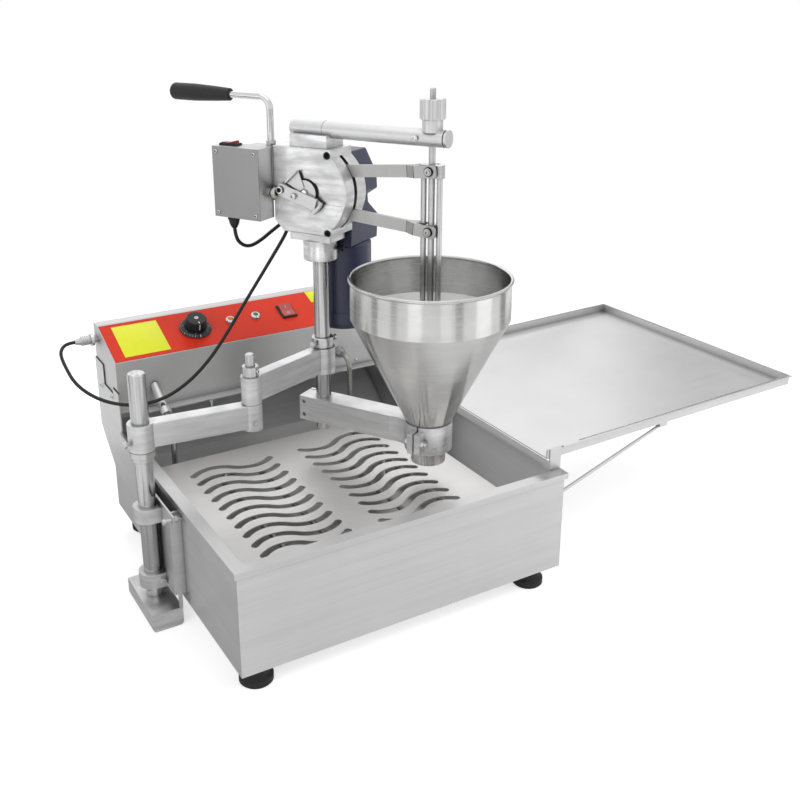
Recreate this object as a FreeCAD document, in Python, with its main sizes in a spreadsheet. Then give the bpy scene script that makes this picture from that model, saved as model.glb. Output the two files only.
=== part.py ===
import FreeCAD, Part
import Sketcher
import math
import os

# Automatic donut machine: an oil tank with a slotted plate, a control box over its rear edge,
# a drying tray hooked on its right edge, and a depositor head on a jointed arm that turns on a
# post at the left side. Millimetres, +Z up. The origin is on the floor, at the middle of the
# machine's box; the tank's rim starts tank_x to the left and tank_y in front of it.

os.makedirs("parts", exist_ok=True)
doc = FreeCAD.newDocument("donut_machine")
sheet = doc.addObject("Spreadsheet::Sheet", "dims")
nodes = []


class Dim:
    """A length or angle: its present value with the formula that gives it."""

    def __init__(self, value, text):
        self.value = value
        self.text = text

    def combine(self, sign, other, value):
        return Dim(value, "(" + self.text + " " + sign + " " + other.text + ")")

    def __add__(self, other):
        other = dim(other)
        return self.combine("+", other, self.value + other.value)

    def __sub__(self, other):
        other = dim(other)
        return self.combine("-", other, self.value - other.value)

    def __mul__(self, other):
        other = dim(other)
        return self.combine("*", other, self.value * other.value)

    def __truediv__(self, other):
        other = dim(other)
        return self.combine("/", other, self.value / other.value)

    def __radd__(self, other):
        return dim(other) + self

    def __rsub__(self, other):
        return dim(other) - self

    def __rmul__(self, other):
        return dim(other) * self

    def __neg__(self):
        return Dim(-self.value, "(0 - " + self.text + ")")


def dim(number):
    if isinstance(number, Dim):
        return number
    return Dim(float(number), "(" + repr(float(number)) + ")")


def size(alias, number, note):
    row = size.row = size.row + 1
    sheet.set("A%d" % row, note)
    sheet.set("B%d" % row, str(number))
    sheet.setAlias("B%d" % row, alias)
    sheet.recompute()
    return Dim(float(getattr(sheet, alias)), "dims." + alias)


size.row = 0


def sine(angle):
    return Dim(math.sin(math.radians(angle.value)), "sin(" + angle.text + " * 1 deg)")


def cosine(angle):
    return Dim(math.cos(math.radians(angle.value)), "cos(" + angle.text + " * 1 deg)")


def angle_of(rise, run):
    return Dim(math.degrees(math.atan2(rise.value, run.value)),
               "(atan2(" + rise.text + "; " + run.text + ") / 1 deg)")


def root(square):
    return Dim(math.sqrt(square.value), "sqrt(" + square.text + ")")


class Frame:
    """A place on the machine that pieces are built in, written as a placement formula."""

    def __init__(self, text):
        self.text = text

    def at(self, x, y, z, turn=0, about="z"):
        x, y, z, turn = dim(x), dim(y), dim(z), dim(turn)
        step = "placement(vector(%s; %s; %s); rotation%s(%s * 1 deg))"
        step = step % (x.text, y.text, z.text, about, turn.text)
        return Frame(self.text + " * " + step if self.text else step)


TURNS = {"X": (90, "y"), "Y": (-90, "x"), "Z": (0, "z")}


class Piece:
    """One physical piece of the machine, placed in a frame."""

    def __init__(self, label, frame):
        self.body = doc.addObject("PartDesign::Body", label)
        self.body.Label = label
        self.body.setExpression("Placement", frame.text)
        nodes.append(self.body)

    def origin(self, role):
        return next(item for item in self.body.Origin.OriginFeatures if item.Role == role)

    def finish(self, feature):
        self.body.Tip = feature
        doc.recompute()
        return feature

    def sketch(self, plane, offset, outlines):
        """Outlines with every corner, radius and centre tied to the named sizes.

        A corner is (a, b); (a, b, radius, side) arrives by an arc whose centre lies on that
        side of the way there; a round hole or disc is ("circle", a, b, radius).
        """
        sketch = self.body.newObject("Sketcher::SketchObject", "sketch")
        sketch.AttachmentSupport = (self.origin(plane + "_Plane"), "")
        sketch.MapMode = "FlatFace"
        sketch.setExpression("AttachmentOffset.Base.z", offset.text)
        for outline in outlines:
            if outline[0] == "circle":
                centre_a, centre_b, radius = [dim(item) for item in outline[1:]]
                centre = FreeCAD.Vector(centre_a.value, centre_b.value, 0)
                ring = Part.Circle(centre, FreeCAD.Vector(0, 0, 1), radius.value)
                index = sketch.addGeometry(ring, False)
                self.tie(sketch, "DistanceX", -1, 1, index, 3, centre_a)
                self.tie(sketch, "DistanceY", -1, 1, index, 3, centre_b)
                self.tie(sketch, "Radius", index, radius)
            else:
                self.closed_outline(sketch, outline)
        return sketch

    def tie(self, sketch, kind, *ends):
        value = ends[-1]
        number = sketch.addConstraint(Sketcher.Constraint(kind, *ends[:-1], value.value))
        sketch.setExpression("Constraints[%d]" % number, value.text)

    def closed_outline(self, sketch, outline):
        corners = [(dim(item[0]), dim(item[1])) + tuple(item[2:]) for item in outline]
        spots = [FreeCAD.Vector(item[0].value, item[1].value, 0) for item in corners]
        ends = []
        for number, corner in enumerate(corners):
            start, end = spots[number - 1], spots[number]
            if len(corner) == 2:
                index = sketch.addGeometry(Part.LineSegment(start, end), False)
                ends.append((index, 1, 2))
                continue
            radius, side = dim(corner[2]), corner[3]
            half = (end - start) * 0.5
            square = radius.value ** 2 - half.Length ** 2
            reach = math.sqrt(max(square, 0)) / half.Length
            left = FreeCAD.Vector(-half.y, half.x, 0) * reach
            centre = start + half + (left if side == "left" else left * -1)
            first, last = (start, end) if side == "left" else (end, start)
            angles = [math.atan2(spot.y - centre.y, spot.x - centre.x) for spot in (first, last)]
            circle = Part.Circle(centre, FreeCAD.Vector(0, 0, 1), radius.value)
            index = sketch.addGeometry(Part.ArcOfCircle(circle, *angles), False)
            ends.append((index, 1, 2) if side == "left" else (index, 2, 1))
            self.tie(sketch, "Radius", index, radius)
        for number, corner in enumerate(corners):
            arriving, leaving = ends[number], ends[(number + 1) % len(ends)]
            meet = Sketcher.Constraint("Coincident", arriving[0], arriving[2],
                                       leaving[0], leaving[1])
            sketch.addConstraint(meet)
            self.tie(sketch, "DistanceX", -1, 1, arriving[0], arriving[2], corner[0])
            self.tie(sketch, "DistanceY", -1, 1, arriving[0], arriving[2], corner[1])

    def slab(self, kind, plane, start, end, outlines):
        start, end = dim(start), dim(end)
        offset = -end if plane == "XZ" else start
        sketch = self.sketch(plane, offset, outlines)
        feature = self.body.newObject("PartDesign::" + kind, kind.lower())
        feature.Profile = sketch
        feature.setExpression("Length", (end - start).text)
        if kind == "Pocket":
            feature.Reversed = True
        return self.finish(feature)

    def pad(self, plane, start, end, *outlines):
        return self.slab("Pad", plane, start, end, outlines)

    def pocket(self, plane, start, end, *outlines):
        before = self.body.Shape.Volume
        feature = self.slab("Pocket", plane, start, end, outlines)
        if not self.body.Shape.Volume < before:
            raise RuntimeError("a pocket in " + self.body.Label + " cut nothing")
        return feature

    def turned(self, *outlines, axis="Z", plane="XZ"):
        """A profile of (distance from the axis, height) turned a full round."""
        sketch = self.sketch(plane, dim(0), outlines)
        feature = self.body.newObject("PartDesign::Revolution", "revolution")
        feature.Profile = sketch
        feature.ReferenceAxis = (self.origin(axis + "_Axis"), [""])
        feature.Angle = 360
        return self.finish(feature)

    def bar(self, kind, axis, spot, length, radius, lower_radius=None, within=None):
        """A cylinder or cone along an axis, in the frame within if there is one."""
        shape = "Cone" if lower_radius is not None else "Cylinder"
        feature = self.body.newObject("PartDesign::" + kind + shape, kind.lower())
        place = (within or Frame("")).at(*spot, *TURNS[axis])
        feature.setExpression("Placement", place.text)
        feature.setExpression("Height", dim(length).text)
        if lower_radius is None:
            feature.setExpression("Radius", dim(radius).text)
        else:
            feature.setExpression("Radius1", dim(lower_radius).text)
            feature.setExpression("Radius2", dim(radius).text)
        return self.finish(feature)

    def rod(self, axis, spot, length, radius, within=None):
        return self.bar("Additive", axis, spot, length, radius, within=within)

    def taper(self, axis, spot, length, lower_radius, radius):
        return self.bar("Additive", axis, spot, length, radius, lower_radius)

    def bore(self, axis, spot, length, radius, within=None):
        return self.bar("Subtractive", axis, spot, length, radius, within=within)

    def block(self, x, y, z, kind="AdditiveBox", within=None):
        """A block between pairs of coordinates."""
        feature = self.body.newObject("PartDesign::" + kind, kind.lower())
        place = (within or Frame("")).at(x[0], y[0], z[0])
        feature.setExpression("Placement", place.text)
        for side, pair in (("Length", x), ("Width", y), ("Height", z)):
            feature.setExpression(side, (dim(pair[1]) - dim(pair[0])).text)
        return self.finish(feature)

    def cut(self, x, y, z, within=None):
        return self.block(x, y, z, "SubtractiveBox", within)

    def row(self, feature, axis, count, pitch):
        pattern = self.body.newObject("PartDesign::LinearPattern", "row")
        pattern.Originals = [feature]
        pattern.Direction = (self.origin(axis + "_Axis"), [""])
        pattern.setExpression("Length", (pitch * (count - 1)).text)
        pattern.setExpression("Occurrences", count.text)
        return self.finish(pattern)

    def ring(self, feature, count):
        pattern = self.body.newObject("PartDesign::PolarPattern", "ring")
        pattern.Originals = [feature]
        pattern.Axis = (self.origin("Z_Axis"), [""])
        pattern.Angle = 360
        pattern.setExpression("Occurrences", count.text)
        return self.finish(pattern)

    def soften(self, radius, choose, kind="Fillet"):
        """Round or bevel the edges that choose(edge) picks out on the present shape."""
        base = self.body.Tip
        names = ["Edge%d" % (number + 1) for number, edge in enumerate(base.Shape.Edges)
                 if choose(edge)]
        feature = self.body.newObject("PartDesign::" + kind, kind.lower())
        feature.Base = (base, names)
        feature.setExpression("Radius" if kind == "Fillet" else "Size", dim(radius).text)
        return self.finish(feature)


def near(value, target):
    return abs(value - dim(target).value) < 0.01


def straight(edge, axis):
    if not isinstance(edge.Curve, Part.Line):
        return False
    along = edge.Vertexes[-1].Point - edge.Vertexes[0].Point
    return abs(abs(getattr(along, axis)) - along.Length) < 1e-6


def round_at(edge, axis, level):
    """A full or part circle lying across an axis at one level."""
    if not isinstance(edge.Curve, Part.Circle):
        return False
    across = abs(getattr(edge.Curve.Axis, axis)) > 0.999
    return across and near(getattr(edge.Curve.Center, axis), level)


def hexagon(centre_a, centre_b, radius):
    """Corners of a hexagon, for nuts, bolt heads and sockets."""
    turns = [math.radians(60 * number) for number in range(6)]
    return [(centre_a + radius * math.cos(turn), centre_b + radius * math.sin(turn))
            for turn in turns]


def tube(label, frame, points, bend, diameter):
    """A round bar bent through points: straight runs joined by tangent arcs.

    bend is one radius for every corner, or None for arcs as large as their runs allow.
    """
    spots = [FreeCAD.Vector(*[dim(item).value for item in point]) for point in points]
    radii = []
    edges = []
    start = spots[0]
    for before, corner, after in zip(spots, spots[1:], spots[2:]):
        toward = (before - corner).normalize()
        away = (after - corner).normalize()
        half = (math.pi - toward.getAngle(away)) / 2
        shorter = min((before - corner).Length, (after - corner).Length)
        radius = 0.45 * shorter / math.tan(half) if bend is None else bend.value
        set_back = radius * math.tan(half)
        first = corner + toward * set_back
        last = corner + away * set_back
        bisector = (toward + away).normalize()
        centre = corner + bisector * (radius / math.cos(half))
        middle = centre - bisector * radius
        if (first - start).Length > 1e-6:
            edges.append(Part.LineSegment(start, first).toShape())
        edges.append(Part.Arc(first, middle, last).toShape())
        start = last
        radii.append(radius)
    edges.append(Part.LineSegment(start, spots[-1]).toShape())
    path = Part.Wire(edges)
    section = Part.Circle(spots[0], spots[1] - spots[0], diameter.value / 2)
    shape = path.makePipeShell([Part.Wire(section.toShape())], True, False)
    if not isinstance(shape, Part.Solid):
        shape = shape.Solids[0]
    expected = math.pi * diameter.value ** 2 / 4 * path.Length
    print("%-16s radii %s  volume / (section x length) = %.5f"
          % (label, " ".join("%.0f" % item for item in radii), shape.Volume / expected))
    feature = doc.addObject("Part::Feature", label)
    feature.Label = label
    feature.Shape = shape
    feature.setExpression("Placement", frame.text)
    nodes.append(feature)
    return feature


# Sizes

tank_x = size("tank_x", -481.4, "left outer edge of the tank rim")
tank_y = size("tank_y", -294, "front outer edge of the tank rim")
fit = size("fit", 0.05, "radial clearance of running fits")

sheet_gauge = size("sheet_gauge", 2, "stainless sheet of tank, box and tray")
tank_length = size("tank_length", 520, "tank rim, left to right")
tank_top = size("tank_top", 189.5, "top of the rim")
tank_rear_low = size("tank_rear_low", 525, "rear wall below the slope")
tank_rear = size("tank_rear", 588, "rear wall above the slope")
slope_foot = size("slope_foot", 106, "start of the slope at the rear")
slope_top = size("slope_top", 158, "end of the slope at the rear")
rim_overhang = size("rim_overhang", 4, "rim edge outside the wall")
rim_lip = size("rim_lip", 8.8, "height of the folded rim")
rim_flange = size("rim_flange", 18, "rim width, left and front")
rim_flange_right = size("rim_flange_right", 13, "rim width, right")
rim_hem = size("rim_hem", 2, "radius of the rolled inner edge, right")
ear_front = size("ear_front", 467, "front edge of the side ears")
ear_low_front = size("ear_low_front", 254, "top of the front lobe")
ear_notch_front = size("ear_notch_front", 496, "start of the ear's notch")
ear_notch = size("ear_notch", 244, "bottom of the ear's notch")
ear_notch_rear = size("ear_notch_rear", 545, "end of the ear's notch")
ear_top = size("ear_top", 278, "top of the rear lobe and of the rear wall")
foot_height = size("foot_height", 35, "rubber foot, height")
foot_radius = size("foot_radius", 23, "rubber foot, base")
foot_inset = size("foot_inset", 36.8, "foot centre from the rim edges")
foot_rear_inset = size("foot_rear_inset", 36.8, "rear foot centre from the low rear wall")

plate_top = size("plate_top", 161, "top of the slotted plate")
plate_length = size("plate_length", 431, "slotted plate, left to right")
plate_depth = size("plate_depth", 367, "slotted plate, front to rear")
plate_gap = size("plate_gap", 0.5, "plate to tank walls")
plate_leg = size("plate_leg", 4, "radius of the plate's legs")
plate_leg_inset = size("plate_leg_inset", 24, "leg centre from the plate's edges")
slot_rows = size("slot_rows", 10, "slots in each group")
slot_pitch = size("slot_pitch", 28.3, "from slot to slot")
slot_first = size("slot_first", 58, "first slot from the plate's front edge")
slot_left = size("slot_left", 122.5, "middle of the left group from the plate's left edge")
slot_right = size("slot_right", 300, "middle of the right group from the plate's left edge")
slot_length = size("slot_length", 124, "slot, end to end of its centreline")
slot_swing = size("slot_swing", 12, "crest of the S above its chord")
slot_width = size("slot_width", 11, "slot width")

element_radius = size("element_radius", 4.5, "heating tube")
element_bend = size("element_bend", 20, "heating tube bends")
element_height = size("element_height", 110, "heating tube above the floor")
element_front = size("element_front", 50, "front turns of the heating tube")
element_rear = size("element_rear", 392, "rear turns of the heating tube")
element_left = size("element_left", 66, "left end of the heating tube, X")
element_right = size("element_right", 399, "right end of the heating tube, X")
sleeve_height = size("sleeve_height", 255, "left sleeve on the box face")
sleeve_reach = size("sleeve_reach", 52, "left sleeve, how far it stands forward")
sleeve_drop = size("sleeve_drop", 32, "left sleeve, how far it falls")
sleeve_radius = size("sleeve_radius", 7, "left sleeve")
gland_height = size("gland_height", 247, "right gland on the box face")
gland_reach = size("gland_reach", 39, "right tube, how far it stands forward")

box_front = size("box_front", 475, "front face of the control box")
box_bottom = size("box_bottom", 219, "underside of the control box")
box_front_top = size("box_front_top", 302, "foot of the sloped panel")
box_top = size("box_top", 338, "top of the control box")
panel_run = size("panel_run", 91, "sloped panel, front to rear")
box_flange = size("box_flange", 20, "base flange in front of the box")
box_flange_left = size("box_flange_left", 30, "flange end from the box's left end")
box_flange_right = size("box_flange_right", 50, "flange end from the box's right end")
panel_margin = size("panel_margin", 1.2, "red panel inside the box edge")
panel_thick = size("panel_thick", 1, "red panel thickness")
knob_x = size("knob_x", 149, "thermostat knob from the box's left end")
knob_up = size("knob_up", 48, "thermostat knob up the slope")
skirt_radius = size("skirt_radius", 26, "dial skirt")
skirt_height = size("skirt_height", 5, "dial skirt")
knob_radius = size("knob_radius", 18, "thermostat knob")
knob_height = size("knob_height", 22, "thermostat knob with its skirt")
spindle_radius = size("spindle_radius", 3, "thermostat spindle")
lamp_up = size("lamp_up", 53, "lamps up the slope")
lamp_orange_x = size("lamp_orange_x", 213, "orange lamp from the box's left end")
lamp_green_x = size("lamp_green_x", 259, "green lamp from the box's left end")
lamp_radius = size("lamp_radius", 8, "lamp ring")
lens_radius = size("lens_radius", 5.2, "lamp lens")
power_x = size("power_x", 316, "power switch from the box's left end")
power_up = size("power_up", 50, "power switch up the slope")
power_width = size("power_width", 27, "power switch along X")
power_length = size("power_length", 34, "power switch up the slope, its length")
drive_width = size("drive_width", 14, "drive switch, width")
drive_length = size("drive_length", 31, "drive switch, length")
rocker_tilt = size("rocker_tilt", 7, "rocker angle at rest")
socket_y = size("socket_y", 572, "connector on the left end, Y")
socket_z = size("socket_z", 314, "connector on the left end, height")
cable_radius = size("cable_radius", 2.75, "black cable")

post_x = size("post_x", -25.5, "post axis from the rim's left edge")
post_y = size("post_y", 255, "post axis from the rim's front edge")
post_radius = size("post_radius", 12.5, "post")
post_top = size("post_top", 369, "top of the post")
base_height = size("base_height", 28, "foot box of the post")
base_length = size("base_length", 112, "foot box along Y")
base_width = size("base_width", 45, "foot box along X")
base_left = size("base_left", 22.5, "foot box from the post axis to its left side")
bracket_gap = size("bracket_gap", 13, "post axis to the channel's face")
bracket_low = size("bracket_low", 50, "bottom of the channel")
bracket_gauge = size("bracket_gauge", 3, "channel thickness")
lug_radius = size("lug_radius", 20, "post lugs")
lug_height = size("lug_height", 22, "post lugs")
lug_upper = size("lug_upper", 149, "bottom of the upper lug")
lug_lower = size("lug_lower", 45, "bottom of the lower lug")
collar_radius = size("collar_radius", 17.5, "post collar")
collar_height = size("collar_height", 15, "post collar")

arm_level = size("arm_level", 256.5, "underside of the first arm's hub")
arm_1_angle = size("arm_1_angle", -5.4, "first arm from +X")
arm_1_length = size("arm_1_length", 159.2, "post axis to elbow axis")
arm_1_width = size("arm_1_width", 22, "first arm, bar")
arm_height = size("arm_height", 36, "first arm, bar height")
hub_radius = size("hub_radius", 18.5, "hub on the post")
hub_height = size("hub_height", 40.5, "hubs of the first arm")
elbow_radius = size("elbow_radius", 14.5, "elbow hubs")
pin_radius = size("pin_radius", 7, "elbow pin")
pin_top = size("pin_top", 371, "top of the elbow pin")
elbow_collar = size("elbow_collar", 11.5, "elbow collar radius")
elbow_collar_height = size("elbow_collar_height", 15, "elbow collar")
elbow_angle = size("elbow_angle", 26.9, "second arm from the first")
arm_2_length = size("arm_2_length", 154.4, "elbow axis to column axis")
arm_2_width = size("arm_2_width", 20, "second arm, bar")
arm_2_height = size("arm_2_height", 41, "second arm, hubs and bar")
column_hub = size("column_hub", 19, "hub on the column")

head_angle = size("head_angle", -81.5, "head from the second arm")
column_radius = size("column_radius", 12, "column")
column_bottom = size("column_bottom", 204, "bottom of the column")
column_collar = size("column_collar", 16.5, "column collar radius")
column_collar_height = size("column_collar_height", 16, "column collar")
keyway = size("keyway", 4, "keyway width")
boss_radius = size("boss_radius", 25, "boss under the head")
boss_height = size("boss_height", 30, "boss under the head")
flange_height = size("flange_height", 12, "flange under the head")
flange_left = size("flange_left", -39, "flange under the head, left side")
flange_right = size("flange_right", 30, "flange under the head, right side")
flange_half = size("flange_half", 21, "flange under the head, half depth")
head_bottom = size("head_bottom", 518, "underside of the head plates")
head_top = size("head_top", 642, "top of the head plates")
head_left = size("head_left", -60, "left side of the head plates")
head_right = size("head_right", 38, "shoulder of the head plates")
head_cut = size("head_cut", 15, "cut lower left corner")
shaft_u = size("shaft_u", -4, "cam shaft, along the beam")
shaft_z = size("shaft_z", 579, "cam shaft, height")
shaft_radius = size("shaft_radius", 8, "cam shaft")
nose_radius = size("nose_radius", 66, "round nose of the head about the shaft")
slot_front = size("slot_front", -4, "front of the lever slot")
slot_back = size("slot_back", 4, "back of the lever slot")
head_front = size("head_front", -28, "front face of the head")
head_back = size("head_back", 28, "back face of the head")
spacer_edge = size("spacer_edge", 11, "spacer between the plates, width")
cam_radius = size("cam_radius", 11.5, "cam disc")
cam_throw = size("cam_throw", 3, "cam disc off its shaft")
beam_z = size("beam_z", 666, "beam axis")
beam_radius = size("beam_radius", 12, "beam")
beam_left = size("beam_left", -42.5, "beam, left end")
beam_right = size("beam_right", 207, "beam, right end")
beam_screw_back = size("beam_screw_back", 20, "beam screw, left of the plunger rod")
saddle_left = size("saddle_left", -34, "saddle block under the beam, left")
saddle_right = size("saddle_right", 28, "saddle block under the beam, right")
saddle_height = size("saddle_height", 18, "saddle block")
saddle_half = size("saddle_half", 22, "saddle block, half depth")
lever_thick = size("lever_thick", 6, "levers")
lever_height = size("lever_height", 17, "levers")
lever_pivot_u = size("lever_pivot_u", -36, "lever pivots, along the beam")
lever_pivot = size("lever_pivot", 4, "lever pivot pins")
upper_pivot_z = size("upper_pivot_z", 602.6, "upper lever's pivot")
lower_pivot_z = size("lower_pivot_z", 554.1, "lower lever's pivot")
upper_pin_z = size("upper_pin_z", 622, "upper lever's fork pin")
lower_pin_z = size("lower_pin_z", 539, "lower lever's fork pin")
fork_gap = size("fork_gap", 7.5, "half gap of the forks")
fork_thick = size("fork_thick", 3, "fork cheeks")
fork_pin = size("fork_pin", 3, "fork pin")
fork_play = size("fork_play", 0.7, "fork slot above and below its pin")
fork_slide = size("fork_slide", 3.5, "fork slot beyond its pin, each way")

hopper_u = size("hopper_u", 182, "column axis to hopper axis")
hopper_radius = size("hopper_radius", 114, "hopper band")
hopper_gauge = size("hopper_gauge", 1.6, "hopper sheet")
hopper_bead = size("hopper_bead", 2.5, "rolled rim of the hopper")
hopper_top = size("hopper_top", 474, "top of the hopper")
hopper_band = size("hopper_band", 416, "foot of the hopper band")
neck_radius = size("neck_radius", 33, "foot of the hopper cone")
nozzle_radius = size("nozzle_radius", 25.5, "nozzle")
nozzle_bore = size("nozzle_bore", 23.5, "nozzle bore")
nozzle_bottom = size("nozzle_bottom", 192, "bottom of the nozzle")
clamp_top = size("clamp_top", 256, "top of the clamp and bracket")
clamp_low = size("clamp_low", 213, "bottom of the clamp")
clamp_radius = size("clamp_radius", 35, "clamp jaws")
clamp_split = size("clamp_split", 2, "gap between the jaws")
clamp_ear = size("clamp_ear", 13, "ears outside the jaws")
clamp_ear_thick = size("clamp_ear_thick", 9, "ears")
bracket_bottom = size("bracket_bottom", 217, "bottom of the hopper bracket")
bracket_half = size("bracket_half", 18, "hopper bracket, half depth")
bracket_end = size("bracket_end", 33, "hopper bracket beyond the column axis")

centre_rod = size("centre_rod", 4.5, "plunger rod")
guide_rod = size("guide_rod", 4, "guide rods")
guide_spread = size("guide_spread", 12, "guide rods from the plunger rod")
piston_low = size("piston_low", 226, "bottom of the piston ring")
piston_height = size("piston_height", 10, "piston ring")
piston_hole = size("piston_hole", 7.5, "hole of the piston ring")
disc_radius = size("disc_radius", 15, "plunger disc")
disc_height = size("disc_height", 5, "plunger disc")
crosshead_half = size("crosshead_half", 6.5, "crossheads, half depth")
crosshead_left = size("crosshead_left", 16.2, "upper crosshead, left of the rod")
crosshead_right = size("crosshead_right", 17, "upper crosshead, right of the rod")
dosing_collar = size("dosing_collar", 14, "collar under the dosing knob")
dosing_seat = size("dosing_seat", 691, "top of that collar")
dosing_knob = size("dosing_knob", 17.5, "dosing knob")
dosing_height = size("dosing_height", 27, "dosing knob")
dosing_flutes = size("dosing_flutes", 10, "flutes of the dosing knob")
stud_top = size("stud_top", 732, "tip of the dosing stud")

drive_left = size("drive_left", -142, "switch box, left side")
drive_right = size("drive_right", -61, "switch box, right side")
drive_front = size("drive_front", -63, "switch box, front")
drive_bottom = size("drive_bottom", 537, "switch box, bottom")
drive_top = size("drive_top", 640, "switch box, top")
drive_gauge = size("drive_gauge", 1.5, "switch box sheet")
drive_switch_u = size("drive_switch_u", -123, "drive switch, along the box")
drive_switch_y = size("drive_switch_y", -43, "drive switch, across the box")
cable_gland_u = size("cable_gland_u", -121, "gland under the switch box")
carrier_reach = size("carrier_reach", 39, "box carrier behind the switch box")
sensor_z = size("sensor_z", 575, "sensor height")
trip_angle = size("trip_angle", 15.4, "trip bar below the level, at rest")
trip_reach = size("trip_reach", 45, "trip bar from the shaft axis")
trip_width = size("trip_width", 18, "trip bar, width")
flag_radius = size("flag_radius", 33, "trip flags")
flag_spread = size("flag_spread", 25, "trip flag, half angle")
flag_turn = size("flag_turn", 32, "trip flags from the trip bar")
flag_rim = size("flag_rim", 6, "folded rim of the trip flags")
handle_u = size("handle_u", -70, "handle rod")
handle_y = size("handle_y", -17, "handle rod")
handle_z = size("handle_z", 708, "handle grip axis")
handle_radius = size("handle_radius", 4.9, "handle rod radius")
handle_bend = size("handle_bend", 17, "handle rod bend")
grip_start = size("grip_start", -140, "grip, right end")
grip_length = size("grip_length", 106, "grip")
grip_radius = size("grip_radius", 12.5, "grip")
grip_neck = size("grip_neck", 9, "grip at the rod")

gearbox_half = size("gearbox_half", 40, "gearbox, half width")
gearbox_deep = size("gearbox_deep", 76, "gearbox, front to rear")
gearbox_top = size("gearbox_top", 626, "gearbox top")
gearbox_low = size("gearbox_low", 490, "gearbox bottom")
waist = size("gearbox_waist", 61, "waist of the gearbox above its bottom")
motor_radius = size("motor_radius", 43, "motor")
motor_y = size("motor_y", 70, "motor axis behind the column axis")
motor_low = size("motor_low", 355, "bottom of the motor")
motor_seam = size("motor_seam", 383, "seam of the motor's end cap")

tray_overlap = size("tray_overlap", 23, "open edge of the tray inside the rim edge")
tray_front = size("tray_front", 22, "front wall of the tray")
tray_rear = size("tray_rear", 477, "rear wall of the tray")
tray_length = size("tray_length", 517, "tray, left to right")
tray_wall = size("tray_wall", 15, "tray walls")
tray_floor = size("tray_floor", 208, "underside of the tray's open edge")
tray_tilt = size("tray_tilt", 1, "tray fall towards the tank")
tray_clear = size("tray_clear", 3, "notch of the tray round the tank's ear, clearance")
hook_width = size("hook_width", 20, "tray hooks")
hook_setback = size("hook_setback", 40, "rear tray hook inside the rear wall")
strut_radius = size("strut_radius", 2.5, "tray struts")
strut_foot = size("strut_foot", 138, "strut on the tank wall, height")
strut_out = size("strut_out", 209, "strut under the tray, from the tank rim")

# Frames

machine = Frame("").at(tank_x, tank_y, 0)
wall_left = rim_overhang
wall_right = tank_length - rim_overhang
post_frame = machine.at(post_x, post_y, 0)
arm_1_frame = machine.at(post_x, post_y, 0, arm_1_angle)
elbow_frame = arm_1_frame.at(arm_1_length, 0, 0, elbow_angle)
head_frame = elbow_frame.at(arm_2_length, 0, 0, head_angle)
hopper_frame = head_frame.at(hopper_u, 0, 0)

# Tank

tank = Piece("tank_shell", machine)
shelf = tank_top - sheet_gauge
tank.pad("YZ", wall_left, wall_right,
         [(wall_left, foot_height), (tank_rear_low, foot_height), (tank_rear_low, slope_foot),
          (tank_rear, slope_top), (tank_rear, ear_top), (ear_notch_rear, ear_top),
          (ear_notch_rear, ear_notch), (ear_notch_front, ear_notch),
          (ear_notch_front, ear_low_front), (ear_front, ear_low_front), (ear_front, shelf),
          (wall_left, shelf)])
tank.pocket("YZ", wall_left + sheet_gauge, wall_right - sheet_gauge,
            [(wall_left + sheet_gauge, foot_height + sheet_gauge),
             (tank_rear_low - sheet_gauge, foot_height + sheet_gauge),
             (tank_rear_low - sheet_gauge, slope_foot + sheet_gauge * 0.5),
             (tank_rear - sheet_gauge, slope_top + sheet_gauge * 0.5),
             (tank_rear - sheet_gauge, ear_top + 10),
             (wall_left + sheet_gauge, ear_top + 10)])

rim = Piece("tank_rim", machine)
rim_rear = ear_front - 1
rim.pad("XY", shelf, tank_top,
        [(0, 0), (tank_length, 0), (tank_length, rim_rear),
         (tank_length - rim_flange_right, rim_rear),
         (tank_length - rim_flange_right, rim_flange), (rim_flange, rim_flange),
         (rim_flange, rim_rear), (0, rim_rear)])
rim.pad("XY", tank_top - rim_lip, shelf,
        [(0, 0), (tank_length, 0), (tank_length, rim_rear), (tank_length - sheet_gauge, rim_rear),
         (tank_length - sheet_gauge, sheet_gauge), (sheet_gauge, sheet_gauge),
         (sheet_gauge, rim_rear), (0, rim_rear)])
rim.rod("Y", (tank_length - rim_flange_right, rim_flange, tank_top - rim_hem),
        rim_rear - rim_flange, rim_hem)

foot_spots = ((foot_inset, foot_inset), (tank_length - foot_inset, foot_inset),
              (foot_inset, tank_rear_low - foot_rear_inset),
              (tank_length - foot_inset, tank_rear_low - foot_rear_inset))
for number, (x, y) in enumerate(foot_spots, 1):
    foot = Piece("rubber_foot_%d" % number, machine.at(x, y, 0))
    foot.turned([(0, 0), (foot_radius - 2, 0), (foot_radius, 2), (foot_radius, foot_height * 0.3),
                 (foot_radius * 0.82, foot_height * 0.42), (foot_radius * 0.78, foot_height),
                 (0, foot_height)])

# Slotted plate

plate_corner = wall_left + sheet_gauge + plate_gap
plate = Piece("slotted_plate", machine.at(plate_corner, plate_corner, 0))
plate.pad("XY", plate_top - sheet_gauge, plate_top,
          [(0, 0), (plate_length, 0), (plate_length, plate_depth), (0, plate_depth)])
leg_length = plate_top - sheet_gauge - foot_height - sheet_gauge
for x in (plate_leg_inset, plate_length - plate_leg_inset):
    for y in (plate_leg_inset, plate_depth - plate_leg_inset):
        plate.rod("Z", (x, y, foot_height + sheet_gauge), leg_length, plate_leg)


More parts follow.
